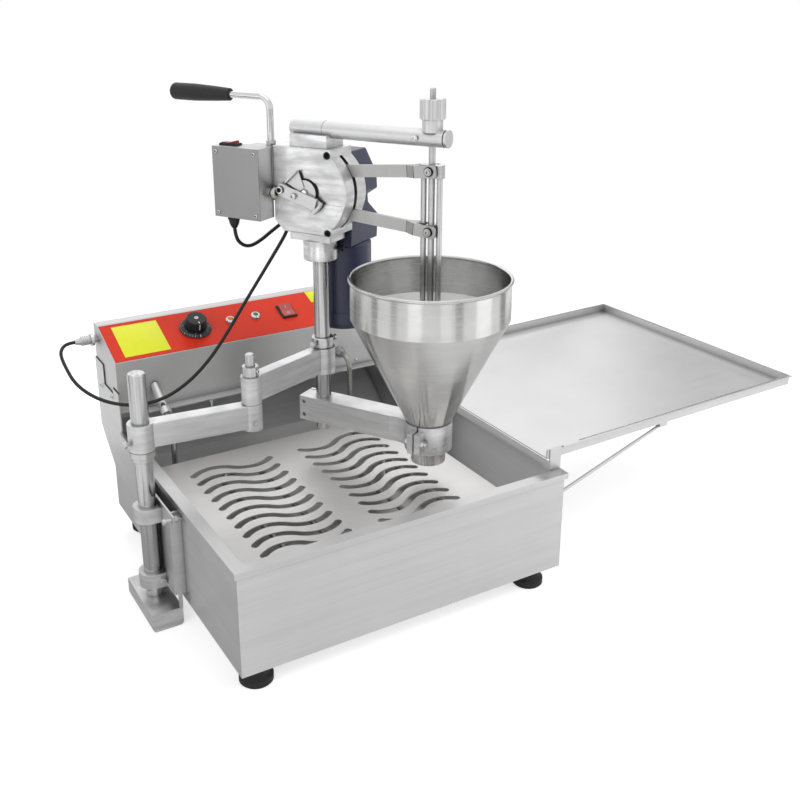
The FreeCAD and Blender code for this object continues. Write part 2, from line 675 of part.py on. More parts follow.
def wave(middle, level, side):
    """Outline of one S-shaped slot: two equal arcs that meet on the chord, with round ends.

    The first arc is the crest where side is 1 and the trough where side is -1.
    """
    quarter = slot_length / 4
    half = slot_width / 2
    curve = (quarter * quarter + slot_swing * slot_swing) / (slot_swing * 2)
    over = half * (quarter / curve)
    up = half * ((curve - slot_swing) / curve)
    left = middle - slot_length / 2
    right = middle + slot_length / 2
    onward, back = ("right", "left") if side > 0 else ("left", "right")
    upper = level + up * side
    lower = level - up * side
    return [(middle + over, upper, curve + half, onward),
            (right - over, upper, curve - half, back),
            (right + up, level + over * side, half, onward),
            (right + over, lower, half, onward),
            (middle - over, lower, curve + half, onward),
            (left + over, lower, curve - half, back),
            (left - up, level - over * side, half, onward),
            (left - over, upper, half, onward)]


slots = plate.pocket("XY", plate_top - sheet_gauge - 1, plate_top + 1,
                     wave(slot_left, slot_first, 1), wave(slot_right, slot_first, -1))
plate.row(slots, "Y", slot_rows, slot_pitch)

# Control box

box_left = wall_left + sheet_gauge
box_right = wall_right - sheet_gauge
box_length = box_right - box_left
box_rear = tank_rear - sheet_gauge
panel_rise = box_top - box_front_top
panel_angle = angle_of(panel_rise, panel_run)
panel_slope = root(panel_rise * panel_rise + panel_run * panel_run)
panel_frame = machine.at(box_left, box_front, box_front_top, panel_angle, "x")
slope_top_y = box_front + panel_run

box = Piece("control_box", machine)
box.pad("YZ", box_left, box_right,
        [(box_front, box_bottom), (box_rear, box_bottom), (box_rear, box_top),
         (slope_top_y, box_top), (box_front, box_front_top)])
box.soften(3, lambda edge: straight(edge, "x") and near(edge.BoundBox.YMin, box_rear)
           and near(edge.BoundBox.ZMin, box_top))
gauge = sheet_gauge
slant = gauge / cosine(panel_angle)
steep = panel_rise / panel_run
box.pocket("YZ", box_left + gauge, box_right - gauge,
           [(box_front + gauge, box_bottom - 1), (box_rear - gauge, box_bottom - 1),
            (box_rear - gauge, box_top - gauge),
            (slope_top_y + (slant - gauge) / steep, box_top - gauge),
            (box_front + gauge, box_front_top - slant + gauge * steep)])

base = Piece("control_box_base", machine)
base.pad("XY", box_bottom - gauge, box_bottom,
         [(box_left, box_front), (box_left + box_flange_left, box_front),
          (box_left + box_flange_left, box_front - box_flange),
          (box_right - box_flange_right, box_front - box_flange),
          (box_right - box_flange_right, box_front), (box_right, box_front),
          (box_right, box_rear), (box_left, box_rear)])

panel = Piece("control_panel", panel_frame)
panel.block((panel_margin, box_length - panel_margin),
            (panel_margin, panel_slope - panel_margin * 4), (0, panel_thick))
panel.bore("Z", (knob_x, knob_up, -1), panel_thick + 2, spindle_radius + fit)

knob = Piece("thermostat_knob", panel_frame.at(knob_x, knob_up, panel_thick + 0.5))
knob.turned([(0, 0), (skirt_radius, 0), (skirt_radius, 1), (skirt_radius - 3, skirt_height),
             (knob_radius, skirt_height), (knob_radius - 1, knob_height - 1.5),
             (knob_radius - 2.5, knob_height), (0, knob_height)])
grip_cut = knob.bore("Z", (knob_radius + 0.6, 0, skirt_height + 1), knob_height, 1.2)
knob.ring(grip_cut, dim(24))
knob.rod("Z", (0, 0, -5), 5, spindle_radius)
box_slope = Frame("").at(box_left, box_front, box_front_top, panel_angle, "x")
box.bore("Z", (knob_x, knob_up, -6), 12, spindle_radius + fit, within=box_slope)

for name, x in (("orange", lamp_orange_x), ("green", lamp_green_x)):
    lamp_frame = panel_frame.at(x, lamp_up, panel_thick)
    ring = Piece("lamp_ring_" + name, lamp_frame)
    ring.turned([(lens_radius, 0), (lamp_radius, 0), (lamp_radius, 1.5), (lamp_radius - 1, 3),
                 (lens_radius + 0.5, 3.5), (lens_radius, 3)])
    lens = Piece("lamp_lens_" + name, lamp_frame)
    lens.turned([(0, 0), (lens_radius, 0), (lens_radius, 2.5), (lens_radius - 1.5, 4.2),
                 (0, 4.8)])


def rocker_switch(name, frame, width, length, pivot_name):
    """A bezel with a rocker on trunnion pins; frame z leaves the panel, y runs with the rocker.

    Returns the ranges of the opening that the switch drops into.
    """
    rim_width = 2
    half_w, half_l = width / 2, length / 2
    bezel_height = dim(3)
    depth = dim(6)
    bezel = Piece(name + "_bezel", frame)
    bezel.block((-half_w, half_w), (-half_l, half_l), (0, bezel_height))
    bezel.soften(1, lambda edge: near(edge.BoundBox.ZMin, bezel_height)
                 and near(edge.BoundBox.ZMax, bezel_height), "Chamfer")
    bezel.block((-half_w + 1.5, half_w - 1.5), (-half_l + 1.5, half_l - 1.5), (-depth - 1, 0))
    bezel.cut((-half_w + rim_width, half_w - rim_width),
              (-half_l + rim_width, half_l - rim_width), (-depth, bezel_height + 1))
    pin = dim(1.2)
    pin_reach = dim(0.4)
    bezel.bore("X", (-half_w + rim_width - pin_reach - fit, 0, 1),
               width - rim_width * 2 + pin_reach * 2 + fit * 2, pin + fit)
    pivot = frame.at(0, 0, 1, rocker_tilt, "x")
    rocker = Piece(pivot_name, pivot)
    reach = half_l - rim_width - 1
    side = half_w - rim_width - 0.5
    rocker.pad("YZ", -side, side,
               [(-reach * 0.6, -3.5), (reach * 0.6, -3.5), (reach, -0.5), (reach, 3.6),
                (reach - 1, 4.4), (0, 2.6), (1 - reach, 4.4), (-reach, 3.6), (-reach, -0.5)])
    rocker.rod("X", (-side - 0.5 - pin_reach, 0, 0), side * 2 + 1 + pin_reach * 2, pin)
    return (1.5 - half_w, half_w - 1.5), (1.5 - half_l, half_l - 1.5)


power_frame = panel_frame.at(power_x, power_up, panel_thick)
hole_x, hole_y = rocker_switch("power_switch", power_frame, power_width, power_length,
                               "power_rocker")
panel.cut(hole_x, hole_y, (-5, 5), within=Frame("").at(power_x, power_up, 0))
box.cut(hole_x, hole_y, (-10, 5), within=box_slope.at(power_x, power_up, 0))

socket = Piece("cable_socket", machine.at(box_left, socket_y, socket_z))
socket.rod("X", (-6, 0, 0), 6, 6)
socket.rod("X", (-11, 0, 0), 5, 10.5)
plug = Piece("cable_plug", machine.at(box_left - 11, socket_y, socket_z))
plug.rod("X", (-15, 0, 0), 15, 7.5)
plug.bar("Additive", "X", (-25, 0, 0), 10, 6.5, cable_radius + 1.2)

# Heating element

sleeve_angle = angle_of(sleeve_drop, sleeve_reach)
sleeve_length = root(sleeve_drop * sleeve_drop + sleeve_reach * sleeve_reach)
sleeve_frame = machine.at(element_left, box_front, sleeve_height, sleeve_angle, "x")
sleeve = Piece("element_gland_left", sleeve_frame)
sleeve.rod("Y", (0, -sleeve_length, 0), sleeve_length, sleeve_radius)
sleeve.rod("Y", (0, -sleeve_length, 0), 12, sleeve_radius + 2)
sleeve.cut((-20, 20), (0, 20), (-20, 20), within=Frame("").at(0, 0, 0, -sleeve_angle, "x"))

gland = Piece("element_gland_right", machine.at(element_right, box_front, gland_height))
gland.rod("Y", (0, -3, 0), 3, 10)
gland.pad("XZ", -11, -3, hexagon(dim(0), dim(0), 7.8))
gland.rod("Y", (0, -15, 0), 4, 6)

turn_pitch = (element_right - element_left) / 5
sleeve_end_y = box_front - sleeve_reach
sleeve_end_z = sleeve_height - sleeve_drop
knee_y = sleeve_end_y - element_bend * 1.1
knee_z = sleeve_end_z - element_bend * 1.1 * sleeve_drop / sleeve_reach
route = [(element_left, sleeve_end_y, sleeve_end_z), (element_left, knee_y, knee_z),
         (element_left, knee_y, element_height)]
for number in range(6):
    x = element_left + turn_pitch * number
    last_y = knee_y if number == 0 else box_front - gland_reach if number == 5 else element_rear
    ends = [(x, last_y, element_height), (x, element_front, element_height)]
    ends = ends if number % 2 == 0 else ends[::-1]
    route += ends[1:] if number == 0 else ends
route += [(element_right, box_front - gland_reach, gland_height),
          (element_right, box_front - 15, gland_height)]
tube("heating_element", machine, route, dim(element_bend), element_radius * 2)

# Post

channel_x = bracket_gap
wall_x = wall_left - post_x
half_base = base_length / 2

foot_box = Piece("post_base", post_frame)
foot_box.block((-base_left, base_width - base_left), (-half_base, half_base), (0, base_height))
foot_box.soften(6, lambda edge: straight(edge, "y") and near(edge.BoundBox.ZMin, 0)
                and edge.BoundBox.Center.x > (tank_x + post_x).value)
foot_box.cut((sheet_gauge - base_left, base_width - base_left - sheet_gauge * 4),
             (sheet_gauge - half_base, half_base - sheet_gauge), (-1, base_height - sheet_gauge))

bracket = Piece("bracket_channel", post_frame)
channel_top = tank_top - rim_lip - 0.7
bracket.block((channel_x, wall_x), (-half_base, half_base), (bracket_low, channel_top))
bracket.cut((channel_x + bracket_gauge, wall_x + 1),
            (bracket_gauge - half_base, half_base - bracket_gauge), (0, channel_top + 1))
bracket.block((channel_x + 5, channel_x + 10), (-half_base, bracket_gauge - half_base),
              (base_height, bracket_low))
bracket.block((channel_x, channel_x + bracket_gauge), (-half_base - 14, -half_base),
              (channel_top - 12, channel_top))

stud = Piece("bracket_stud", post_frame)
stud_y = -half_base - 9
stud_z = channel_top - 6
stud.rod("X", (channel_x + bracket_gauge, stud_y, stud_z), wall_x - channel_x - bracket_gauge, 2.5)
stud.pad("YZ", channel_x + bracket_gauge, channel_x + bracket_gauge + 5,
         hexagon(stud_y, stud_z, 4.6))
stud_head = Piece("bracket_bolt", post_frame)
stud_head.rod("X", (channel_x - 10, stud_y, stud_z), 10, 2.5)
stud_head.rod("X", (channel_x - 13, stud_y, stud_z), 4, 4.2)

for name, level in (("upper", lug_upper), ("lower", lug_lower)):
    lug = Piece("post_lug_" + name, post_frame)
    lug.pad("XY", level, level + lug_height,
            [(channel_x, -lug_radius), (channel_x, lug_radius), (0, lug_radius),
             (-lug_radius, 0, lug_radius, "left"), (0, -lug_radius, lug_radius, "left")])
    lug.bore("Z", (0, 0, level - 1), lug_height + 2, post_radius)
bolt = Piece("lug_bolt", post_frame)
bolt.pad("XZ", -lug_radius - 4.5, -lug_radius,
         hexagon(channel_x - 6, lug_lower + lug_height / 2, 5))

post = Piece("post", post_frame)
post.rod("Z", (0, 0, base_height), post_top - base_height, post_radius)
post.soften(1.5, lambda edge: round_at(edge, "z", post_top), "Chamfer")

collar = Piece("post_collar", post_frame)
collar.rod("Z", (0, 0, arm_level - collar_height), collar_height * 0.4, collar_radius - 2)
collar.rod("Z", (0, 0, arm_level - collar_height * 0.6), collar_height * 0.6, collar_radius)
collar.bore("Z", (0, 0, arm_level - collar_height - 1), collar_height + 2, post_radius)


def thumb_screw(label, frame, reach):
    """A screw with a round knurled head, along the frame's x from the face that it enters."""
    screw = Piece(label, frame)
    screw.rod("X", (0, 0, 0), reach, 2)
    screw.rod("X", (reach, 0, 0), 5, 4.5)
    screw.soften(0.8, lambda edge: isinstance(edge.Curve, Part.Circle)
                 and near(edge.Curve.Radius, 4.5), "Chamfer")
    return screw


# First arm

bar_low = arm_level + 4
bar_top = bar_low + arm_height
half_bar = arm_1_width / 2

arm_1 = Piece("arm_1_link", arm_1_frame)
arm_1.pad("XY", bar_low, bar_top,
          [(0, -half_bar), (arm_1_length, -half_bar), (arm_1_length, half_bar), (0, half_bar)])
arm_1.soften(1.5, lambda edge: straight(edge, "x") or edge.Length > (arm_1_length - 1).value)
arm_1.rod("Z", (0, 0, arm_level), hub_height, hub_radius)
arm_1.rod("Z", (arm_1_length, 0, arm_level), hub_height, elbow_radius)
arm_1.soften(0.8, lambda edge: isinstance(edge.Curve, Part.Circle)
             and (near(edge.Curve.Radius, hub_radius) or near(edge.Curve.Radius, elbow_radius))
             and (near(edge.BoundBox.ZMax, arm_level)
                  or near(edge.BoundBox.ZMin, arm_level + hub_height)))
arm_1.bore("Z", (0, 0, arm_level - 1), hub_height + 2, post_radius + fit)
arm_1.bore("Z", (arm_1_length, 0, arm_level + 5), hub_height, pin_radius)
hub_seat = root(hub_radius * hub_radius - 4) - 0.5
thumb_screw("arm_thumb_screw", post_frame.at(0, 0, arm_level + 14, 195).at(hub_seat, 0, 0), 6)

elbow_top = arm_level + hub_height
elbow_pin = Piece("elbow_pin_rod", arm_1_frame)
elbow_pin.rod("Z", (arm_1_length, 0, arm_level + 5), pin_top - arm_level - 5, pin_radius)
elbow_pin.soften(2.5, lambda edge: round_at(edge, "z", pin_top))
elbow_ring = Piece("elbow_collar", arm_1_frame)
elbow_ring_z = elbow_top + arm_2_height
elbow_ring.rod("Z", (arm_1_length, 0, elbow_ring_z), elbow_collar_height, elbow_collar)
elbow_ring.bore("Z", (arm_1_length, 0, elbow_ring_z - 1), elbow_collar_height + 2, pin_radius)
square = Piece("elbow_set_screw", arm_1_frame)
screw_z = arm_level + 14
square.pad("XZ", -elbow_radius - 2.5, -elbow_radius + 0.5,
           [(arm_1_length - 3.5, screw_z), (arm_1_length, screw_z - 3.5),
            (arm_1_length + 3.5, screw_z), (arm_1_length, screw_z + 3.5)])
arm_1.cut((arm_1_length - 5, arm_1_length + 5), (-elbow_radius - 1, -elbow_radius + 0.5),
          (screw_z - 5, screw_z + 5))

# Second arm

half_bar = arm_2_width / 2
arm_2 = Piece("arm_2", elbow_frame)
arm_2.pad("XY", elbow_top + 2, elbow_top + arm_2_height,
          [(0, -half_bar), (arm_2_length, -half_bar), (arm_2_length, half_bar), (0, half_bar)])
arm_2.soften(1.5, lambda edge: edge.Length > (arm_2_length - 1).value)
arm_2.rod("Z", (0, 0, elbow_top), arm_2_height, elbow_radius)
arm_2.rod("Z", (arm_2_length, 0, elbow_top), arm_2_height, column_hub)
arm_2.bore("Z", (0, 0, elbow_top - 1), arm_2_height + 2, pin_radius + fit)
arm_2.bore("Z", (arm_2_length, 0, elbow_top - 1), arm_2_height + 2, column_radius + fit)

# Column and hopper bracket

column_top = head_bottom - flange_height
column = Piece("column", head_frame)
column.rod("Z", (0, 0, column_bottom), column_top - column_bottom, column_radius)
column.soften(1.2, lambda edge: round_at(edge, "z", column_bottom), "Chamfer")
column.cut((column_radius - 2.5, column_radius + 1), (-keyway / 2, keyway / 2),
           (clamp_top + 3, elbow_top - 3))
hub_top = elbow_top + arm_2_height
column_ring = Piece("column_collar_ring", head_frame)
column_ring.rod("Z", (0, 0, hub_top), column_collar_height, column_collar)
column_ring.soften(1, lambda edge: isinstance(edge.Curve, Part.Circle), "Chamfer")
column_ring.bore("Z", (0, 0, hub_top - 1), column_collar_height + 2, column_radius)
ring_seat = root(column_collar * column_collar - 4) - 0.5
for name, turn in (("column_thumb_screw", 265), ("column_rear_screw", 75)):
    thumb_screw(name, head_frame.at(0, 0, hub_top + column_collar_height / 2, turn)
                .at(ring_seat, 0, 0), 6)

bracket_low_z = bracket_bottom
arm = Piece("hopper_bracket", head_frame)
jaw_left = hopper_u - clamp_radius * 0.8
arm.pad("XY", bracket_low_z, clamp_top,
        [(-bracket_end, -bracket_half), (hopper_u - clamp_radius * 1.6, -bracket_half),
         (jaw_left, -clamp_radius * 0.6, clamp_radius, "right"),
         (jaw_left, clamp_radius * 0.6),
         (hopper_u - clamp_radius * 1.6, bracket_half, clamp_radius, "right"),
         (-bracket_end, bracket_half)])
arm.rod("Z", (hopper_u, 0, clamp_low), clamp_top - clamp_low, clamp_radius)
ear_far = clamp_radius + clamp_ear
arm.block((hopper_u - clamp_split / 2 - clamp_ear_thick, hopper_u), (-ear_far, ear_far),
          (clamp_low + 6, clamp_top - 6))
arm.cut((hopper_u - clamp_split / 2, hopper_u + clamp_radius + 1),
        (-ear_far - 1, ear_far + 1), (clamp_low - 1, clamp_top + 1))
arm.bore("Z", (hopper_u, 0, clamp_low - 1), clamp_top - clamp_low + 2, nozzle_radius)
arm.bore("Z", (0, 0, bracket_low_z - 1), clamp_top - bracket_low_z + 2, column_radius)
arm.cut((-bracket_end - 1, 0), (bracket_half - 7, bracket_half - 5),
        (bracket_low_z - 1, clamp_top + 1))
for z in (bracket_low_z + 9, clamp_top - 9):
    arm.bore("Y", (-bracket_end + 8, -bracket_half - 1, z), 5, 3)

jaw = Piece("clamp_jaw", hopper_frame)
jaw.rod("Z", (0, 0, clamp_low), clamp_top - clamp_low, clamp_radius)
jaw.block((0, clamp_split / 2 + clamp_ear_thick), (-ear_far, ear_far),
          (clamp_low + 6, clamp_top - 6))
jaw.cut((-clamp_radius - 1, clamp_split / 2), (-ear_far - 1, ear_far + 1),
        (clamp_low - 1, clamp_top + 1))
jaw.bore("Z", (0, 0, clamp_low - 1), clamp_top - clamp_low + 2, nozzle_radius)

ear_out = clamp_split / 2 + clamp_ear_thick
clamp_mid = (clamp_low + clamp_top) / 2
ear_mid = clamp_radius + clamp_ear * 0.5
for name, y in (("front", -ear_mid), ("rear", ear_mid)):
    arm.bore("X", (hopper_u - ear_out - 1, y, clamp_mid), ear_out + 1, 3)
    jaw.bore("X", (0, y, clamp_mid), ear_out + 1, 3)
    cross = Piece("clamp_bolt_" + name, hopper_frame)
    cross.rod("X", (-ear_out, y, clamp_mid), ear_out * 2 + 8.5, 3)
    for start in (-ear_out - 4.5, ear_out):
        cross.pad("YZ", start, start + 4.5, hexagon(y, clamp_mid, 5.6))

# Hopper and depositor

hopper = Piece("hopper", hopper_frame)
wall = hopper_gauge
cone_run = hopper_radius - neck_radius
cone_rise = hopper_band - clamp_top
cone_lean = wall * cone_run / cone_rise
bead_z = hopper_top - hopper_bead
hopper.turned([(nozzle_bore, nozzle_bottom), (nozzle_radius, nozzle_bottom),
               (nozzle_radius, clamp_top), (neck_radius, clamp_top),
               (hopper_radius, hopper_band), (hopper_radius, bead_z),
               (hopper_radius - wall, bead_z),
               (hopper_radius - wall, hopper_band + cone_lean * 0.4),
               (neck_radius - wall * 1.4, clamp_top + wall), (nozzle_bore, clamp_top)])
hopper.turned(["circle", hopper_radius, bead_z, hopper_bead])

piston = Piece("piston_ring", hopper_frame)
piston.rod("Z", (0, 0, piston_low), piston_height, nozzle_bore - fit)
piston.bore("Z", (0, 0, piston_low - 1), piston_height + 2, piston_hole)
upper_low = upper_pin_z - 9.5
for name, side in (("left", -guide_spread), ("right", guide_spread)):
    guide = Piece("guide_rod_" + name, hopper_frame)
    guide.rod("Z", (side, 0, piston_low + piston_height),
              upper_low - piston_low - piston_height, guide_rod)


def crosshead(label, left, right, low, high, pin_z, rod_radius):
    """The block that a lever's fork holds by its cross pin."""
    head = Piece(label, hopper_frame)
    head.block((left, right), (-crosshead_half, crosshead_half), (low, high))
    head.soften(1.5, lambda edge: straight(edge, "z"))
    cheek = fork_gap + fork_thick
    head.rod("Y", (0, -cheek - 0.5, pin_z), cheek * 2 + 1, fork_pin)
    for start in (-cheek - 3, cheek + 0.5):
        head.rod("Y", (0, start, pin_z), 2.5, fork_pin + 2.4)
    head.bore("Z", (0, 0, low - 1), high - low + 2, rod_radius)
    return head


crosshead("upper_crosshead", -crosshead_left, crosshead_right, upper_low, upper_pin_z + 8.5, upper_pin_z,
          centre_rod + fit)
crosshead("lower_crosshead", dim(-6.6), dim(6.6), lower_pin_z - 9, lower_pin_z + 9, lower_pin_z,
          centre_rod)

disc = Piece("plunger_disc", hopper_frame)
disc.rod("Z", (0, 0, nozzle_bottom), disc_height * 0.6, disc_radius)
disc.taper("Z", (0, 0, nozzle_bottom + disc_height * 0.6), disc_height * 0.4, disc_radius,
           disc_radius * 0.6)
knob_top = dosing_seat + dosing_height
plunger = Piece("plunger_rod", hopper_frame)
plunger.rod("Z", (0, 0, nozzle_bottom + disc_height), knob_top - nozzle_bottom - disc_height,
            centre_rod)
plunger.rod("Z", (0, 0, knob_top), stud_top - knob_top, centre_rod - 0.5)
plunger.soften(2, lambda edge: round_at(edge, "z", stud_top))

dosing = Piece("dosing_knob", hopper_frame)
dosing.rod("Z", (0, 0, dosing_seat), dosing_height, dosing_knob)
dosing.soften(1.5, lambda edge: round_at(edge, "z", knob_top) or round_at(edge, "z", dosing_seat))
flute = dosing.bore("Z", (dosing_knob + 1.2, 0, dosing_seat - 1), dosing_height + 2, 3.4)
dosing.ring(flute, dosing_flutes)
dosing.bore("Z", (0, 0, dosing_seat - 1), dosing_height + 2, centre_rod + fit)

# Beam and saddle

beam = Piece("beam_rod", head_frame)
groove = dim(5.5)
beam.rod("X", (beam_left, 0, beam_z), beam_right - groove - beam_left, beam_radius)
beam.soften(3.5, lambda edge: isinstance(edge.Curve, Part.Circle)
            and beam.body.Tip.Shape.BoundBox.XMin > edge.BoundBox.XMin - 1)
beam.rod("X", (beam_right - groove, 0, beam_z), groove, beam_radius - 2.5)
beam.rod("X", (beam_right - groove + 1.8, 0, beam_z), groove - 1.8, beam_radius)
beam.bore("Z", (hopper_u, 0, beam_z - beam_radius - 1), beam_radius * 2 + 2, centre_rod + fit)

saddle_top = head_top + saddle_height
saddle = Piece("beam_saddle", head_frame)
saddle.block((saddle_left, saddle_right), (-saddle_half, saddle_half), (head_top, saddle_top))
saddle.bore("X", (saddle_left - 1, 0, beam_z), saddle_right - saddle_left + 2, beam_radius)

seat = Piece("dosing_collar", hopper_frame)
seat.rod("Z", (0, 0, beam_z + 8), dosing_seat - beam_z - 8, dosing_collar)
seat.bore("X", (-dosing_collar - 1, 0, beam_z), dosing_collar * 2 + 2, beam_radius)
seat.bore("Z", (0, 0, beam_z), dosing_seat - beam_z + 1, centre_rod + fit)

beam_screw = Piece("beam_screw", head_frame)
beam_screw.rod("Y", (hopper_u - beam_screw_back, -beam_radius - 1.6, beam_z), 3, 4)

# Head plates, levers and cam

nose_reach = head_right - shaft_u
nose = root(nose_radius * nose_radius - nose_reach * nose_reach)
head_outline = [(head_left + head_cut, head_bottom), (head_right, head_bottom),
                (head_right, shaft_z - nose), (head_right, shaft_z + nose, nose_radius, "left"),
                (head_right, head_top), (head_left, head_top),
                (head_left, head_bottom + head_cut)]
bolt_spots = ((head_right - 6, head_top - 8), (head_right - 7, head_bottom + 4.5))

front_plate = Piece("head_front_plate", head_frame)
front_plate.pad("XZ", head_front, slot_front, head_outline)
front_plate.soften(1.2, lambda edge: near(edge.BoundBox.YMin, head_front)
                   and near(edge.BoundBox.YMax, head_front), "Chamfer")
front_plate.pocket("XZ", head_front - 1, head_front + 1.2,
                   [(shaft_u + 14, shaft_z - 15), (head_right + 40, shaft_z - 15),
                    (head_right + 40, shaft_z + 15), (shaft_u + 14, shaft_z + 15)])
front_plate.bore("Y", (shaft_u, head_front - 1, shaft_z), slot_front - head_front + 2,
                 shaft_radius + fit)
for number, (u, z) in enumerate(bolt_spots, 1):
    front_plate.bore("Y", (u, head_front - 1, z), 6, 5.6)
    screw = Piece("head_bolt_%d" % number, head_frame)
    screw.rod("Y", (u, head_front + 1, z), 4, 5)
    screw.pocket("XZ", head_front, head_front + 3, hexagon(u, z, 2.9))

rear_plate = Piece("head_rear_plate", head_frame)
rear_plate.pad("XZ", slot_back, head_back, head_outline)
inner_left = head_left + spacer_edge
rear_plate.pad("XZ", slot_front, slot_back,
               [(head_left + head_cut, head_bottom), (head_right, head_bottom),
                (head_right, head_bottom + 9), (head_left + head_cut + 4, head_bottom + 9),
                (inner_left, head_bottom + head_cut + 4), (inner_left, head_top - spacer_edge),
                (head_right, head_top - spacer_edge), (head_right, head_top),
                (head_left, head_top), (head_left, head_bottom + head_cut)])
rear_plate.bore("Y", (shaft_u, slot_back - 1, shaft_z), head_back - slot_back + 2,
                shaft_radius + fit)
for z in (upper_pivot_z, lower_pivot_z):
    rear_plate.rod("Y", (lever_pivot_u, slot_front, z), slot_back - slot_front, lever_pivot)

head_flange = Piece("head_flange", head_frame)
head_flange.block((flange_left, flange_right), (-flange_half, flange_half),
                  (column_top, head_bottom))
head_flange.soften(2, lambda edge: straight(edge, "z"))
boss = Piece("head_boss", head_frame)
boss.rod("Z", (0, 0, column_top - boss_height), boss_height, boss_radius)
boss.soften(1.5, lambda edge: round_at(edge, "z", column_top - boss_height))
boss.bore("Z", (0, 0, column_top - boss_height - 1), boss_height + 1, column_radius)
thumb_screw("boss_thumb_screw", head_frame.at(0, 0, column_top - boss_height * 0.45, 20)
            .at(root(boss_radius * boss_radius - 4) - 0.5, 0, 0), 6)


def lever(label, pivot_z, pin_z):
    """A flat lever on a pin between the head plates, ending in a slotted fork."""
    rise, run = pin_z - pivot_z, hopper_u - lever_pivot_u
    length = root(rise * rise + run * run)
    arm = Piece(label, head_frame.at(lever_pivot_u, 0, pivot_z, -angle_of(rise, run), "y"))
    half = lever_thick / 2
    outside = fork_gap + fork_thick
    high = lever_height / 2
    arm.pad("XY", -high, high,
            [(0, -half), (length - 37, -half), (length - 23, -outside), (length + 11, -outside),
             (length + 11, -fork_gap), (length - 18, -fork_gap), (length - 18, fork_gap),
             (length + 11, fork_gap), (length + 11, outside), (length - 23, outside),
             (length - 37, half), (0, half)])
    arm.soften(high * 0.6, lambda edge: straight(edge, "y")
               and edge.BoundBox.Center.x > arm.body.Shape.BoundBox.XMax - 0.01)
    arm.rod("Y", (0, -half, 0), lever_thick, high + 0.5)
    hole = fork_pin + fork_play
    arm.pocket("XZ", -outside - 1, outside + 1,
               [(length + fork_slide, -hole), (length + fork_slide + hole, 0, hole, "left"),
                (length + fork_slide, hole, hole, "left"), (length - fork_slide, hole),
                (length - fork_slide - hole, 0, hole, "left"),
                (length - fork_slide, -hole, hole, "left")])
    arm.bore("Y", (0, -half - 1, 0), lever_thick + 2, lever_pivot + fit)
    return arm


lever("upper_lever", upper_pivot_z, upper_pin_z)
lever("lower_lever", lower_pivot_z, lower_pin_z)

shaft = Piece("cam_spindle", head_frame)
shaft_front = head_front - 3.5
shaft.rod("Y", (shaft_u, shaft_front, shaft_z), head_back + 12 - shaft_front, shaft_radius)
cam = Piece("cam_disc", head_frame)
cam.rod("Y", (shaft_u + cam_throw, -lever_thick / 2, shaft_z), lever_thick, cam_radius)

trip_frame = head_frame.at(shaft_u, 0, shaft_z, trip_angle, "y")
trip_back = head_front - 0.5
trip_mid = shaft_front
trip_disc = Piece("trip_disc", trip_frame)
trip_disc.rod("Y", (0, trip_mid, 0), trip_back - trip_mid, 18)
trip_disc.bore("Y", (0, trip_mid - 1, 0), 6, shaft_radius)
trip = Piece("trip_bar", trip_frame)
trip_left = -trip_reach + 1
trip.pad("XZ", trip_mid - 5, trip_mid,
         [(trip_left, -trip_width), (24, -trip_width), (24, 0), (trip_left, 0)])
trip.soften(3, lambda edge: straight(edge, "y"))
for x in (trip_left + 6, trip_left + 31):
    trip.rod("Y", (x, trip_mid - 8, -trip_width / 2), 3, 4.2)
across, along = sine(flag_spread), cosine(flag_spread)
flag_in = flag_radius - 1.5
for number, turn in enumerate((flag_turn, flag_turn - 180), 1):
    wing = Piece("trip_wing_%d" % number, trip_frame.at(0, 0, 0, turn, "y"))
    wing.pad("XZ", trip_mid - 1.5, trip_mid,
             [(6, -5), (flag_radius * along, -flag_radius * across),
              (flag_radius * along, flag_radius * across, flag_radius, "left"), (6, 5)])
    wing.pad("XZ", trip_mid - flag_rim, trip_mid - 1.5,
             [(flag_in * along, -flag_in * across),
              (flag_radius * along, -flag_radius * across),
              (flag_radius * along, flag_radius * across, flag_radius, "left"),
              (flag_in * along, flag_in * across)])

# Switch box, sensor and handle

switch_box = Piece("switch_box_shell", head_frame)
front_sheet = drive_front + drive_gauge
switch_box.block((drive_left, drive_right), (front_sheet, head_front), (drive_bottom, drive_top))
switch_box.cut((drive_left + drive_gauge, drive_right - drive_gauge),
               (front_sheet - 1, head_front - drive_gauge),
               (drive_bottom + drive_gauge, drive_top - drive_gauge))
drive_frame = head_frame.at(drive_switch_u, drive_switch_y, drive_top, -90)
hole_x, hole_y = rocker_switch("drive_switch", drive_frame, drive_width, drive_length,
                               "drive_rocker")
switch_box.cut(hole_x, hole_y, (-10, 5),
               within=Frame("").at(drive_switch_u, drive_switch_y, drive_top, -90))
cover = Piece("switch_box_cover", head_frame)
cover.block((drive_left, drive_right), (drive_front, front_sheet), (drive_bottom, drive_top))
carrier = Piece("switch_box_bracket", head_frame)
carrier.block((drive_right - carrier_reach, head_left), (head_front, slot_front - 6),
              (drive_bottom + 25, drive_top))

entry = Piece("cable_gland", head_frame.at(cable_gland_u, drive_switch_y - 3, drive_bottom))
entry.rod("Z", (0, 0, -6), 6, 9)
entry.taper("Z", (0, 0, -13), 7, 7, 8.5)
entry.taper("Z", (0, 0, -19), 6, cable_radius + 1.3, 7)

sensor_y = head_front - 9
sensor = Piece("trip_sensor", head_frame)
sensor_tip = shaft_u - trip_reach - 3
sensor.rod("X", (drive_right, sensor_y, sensor_z), sensor_tip - drive_right, 4)
sensor.pad("YZ", drive_right, drive_right + 3.5, hexagon(sensor_y, sensor_z, 7.5))

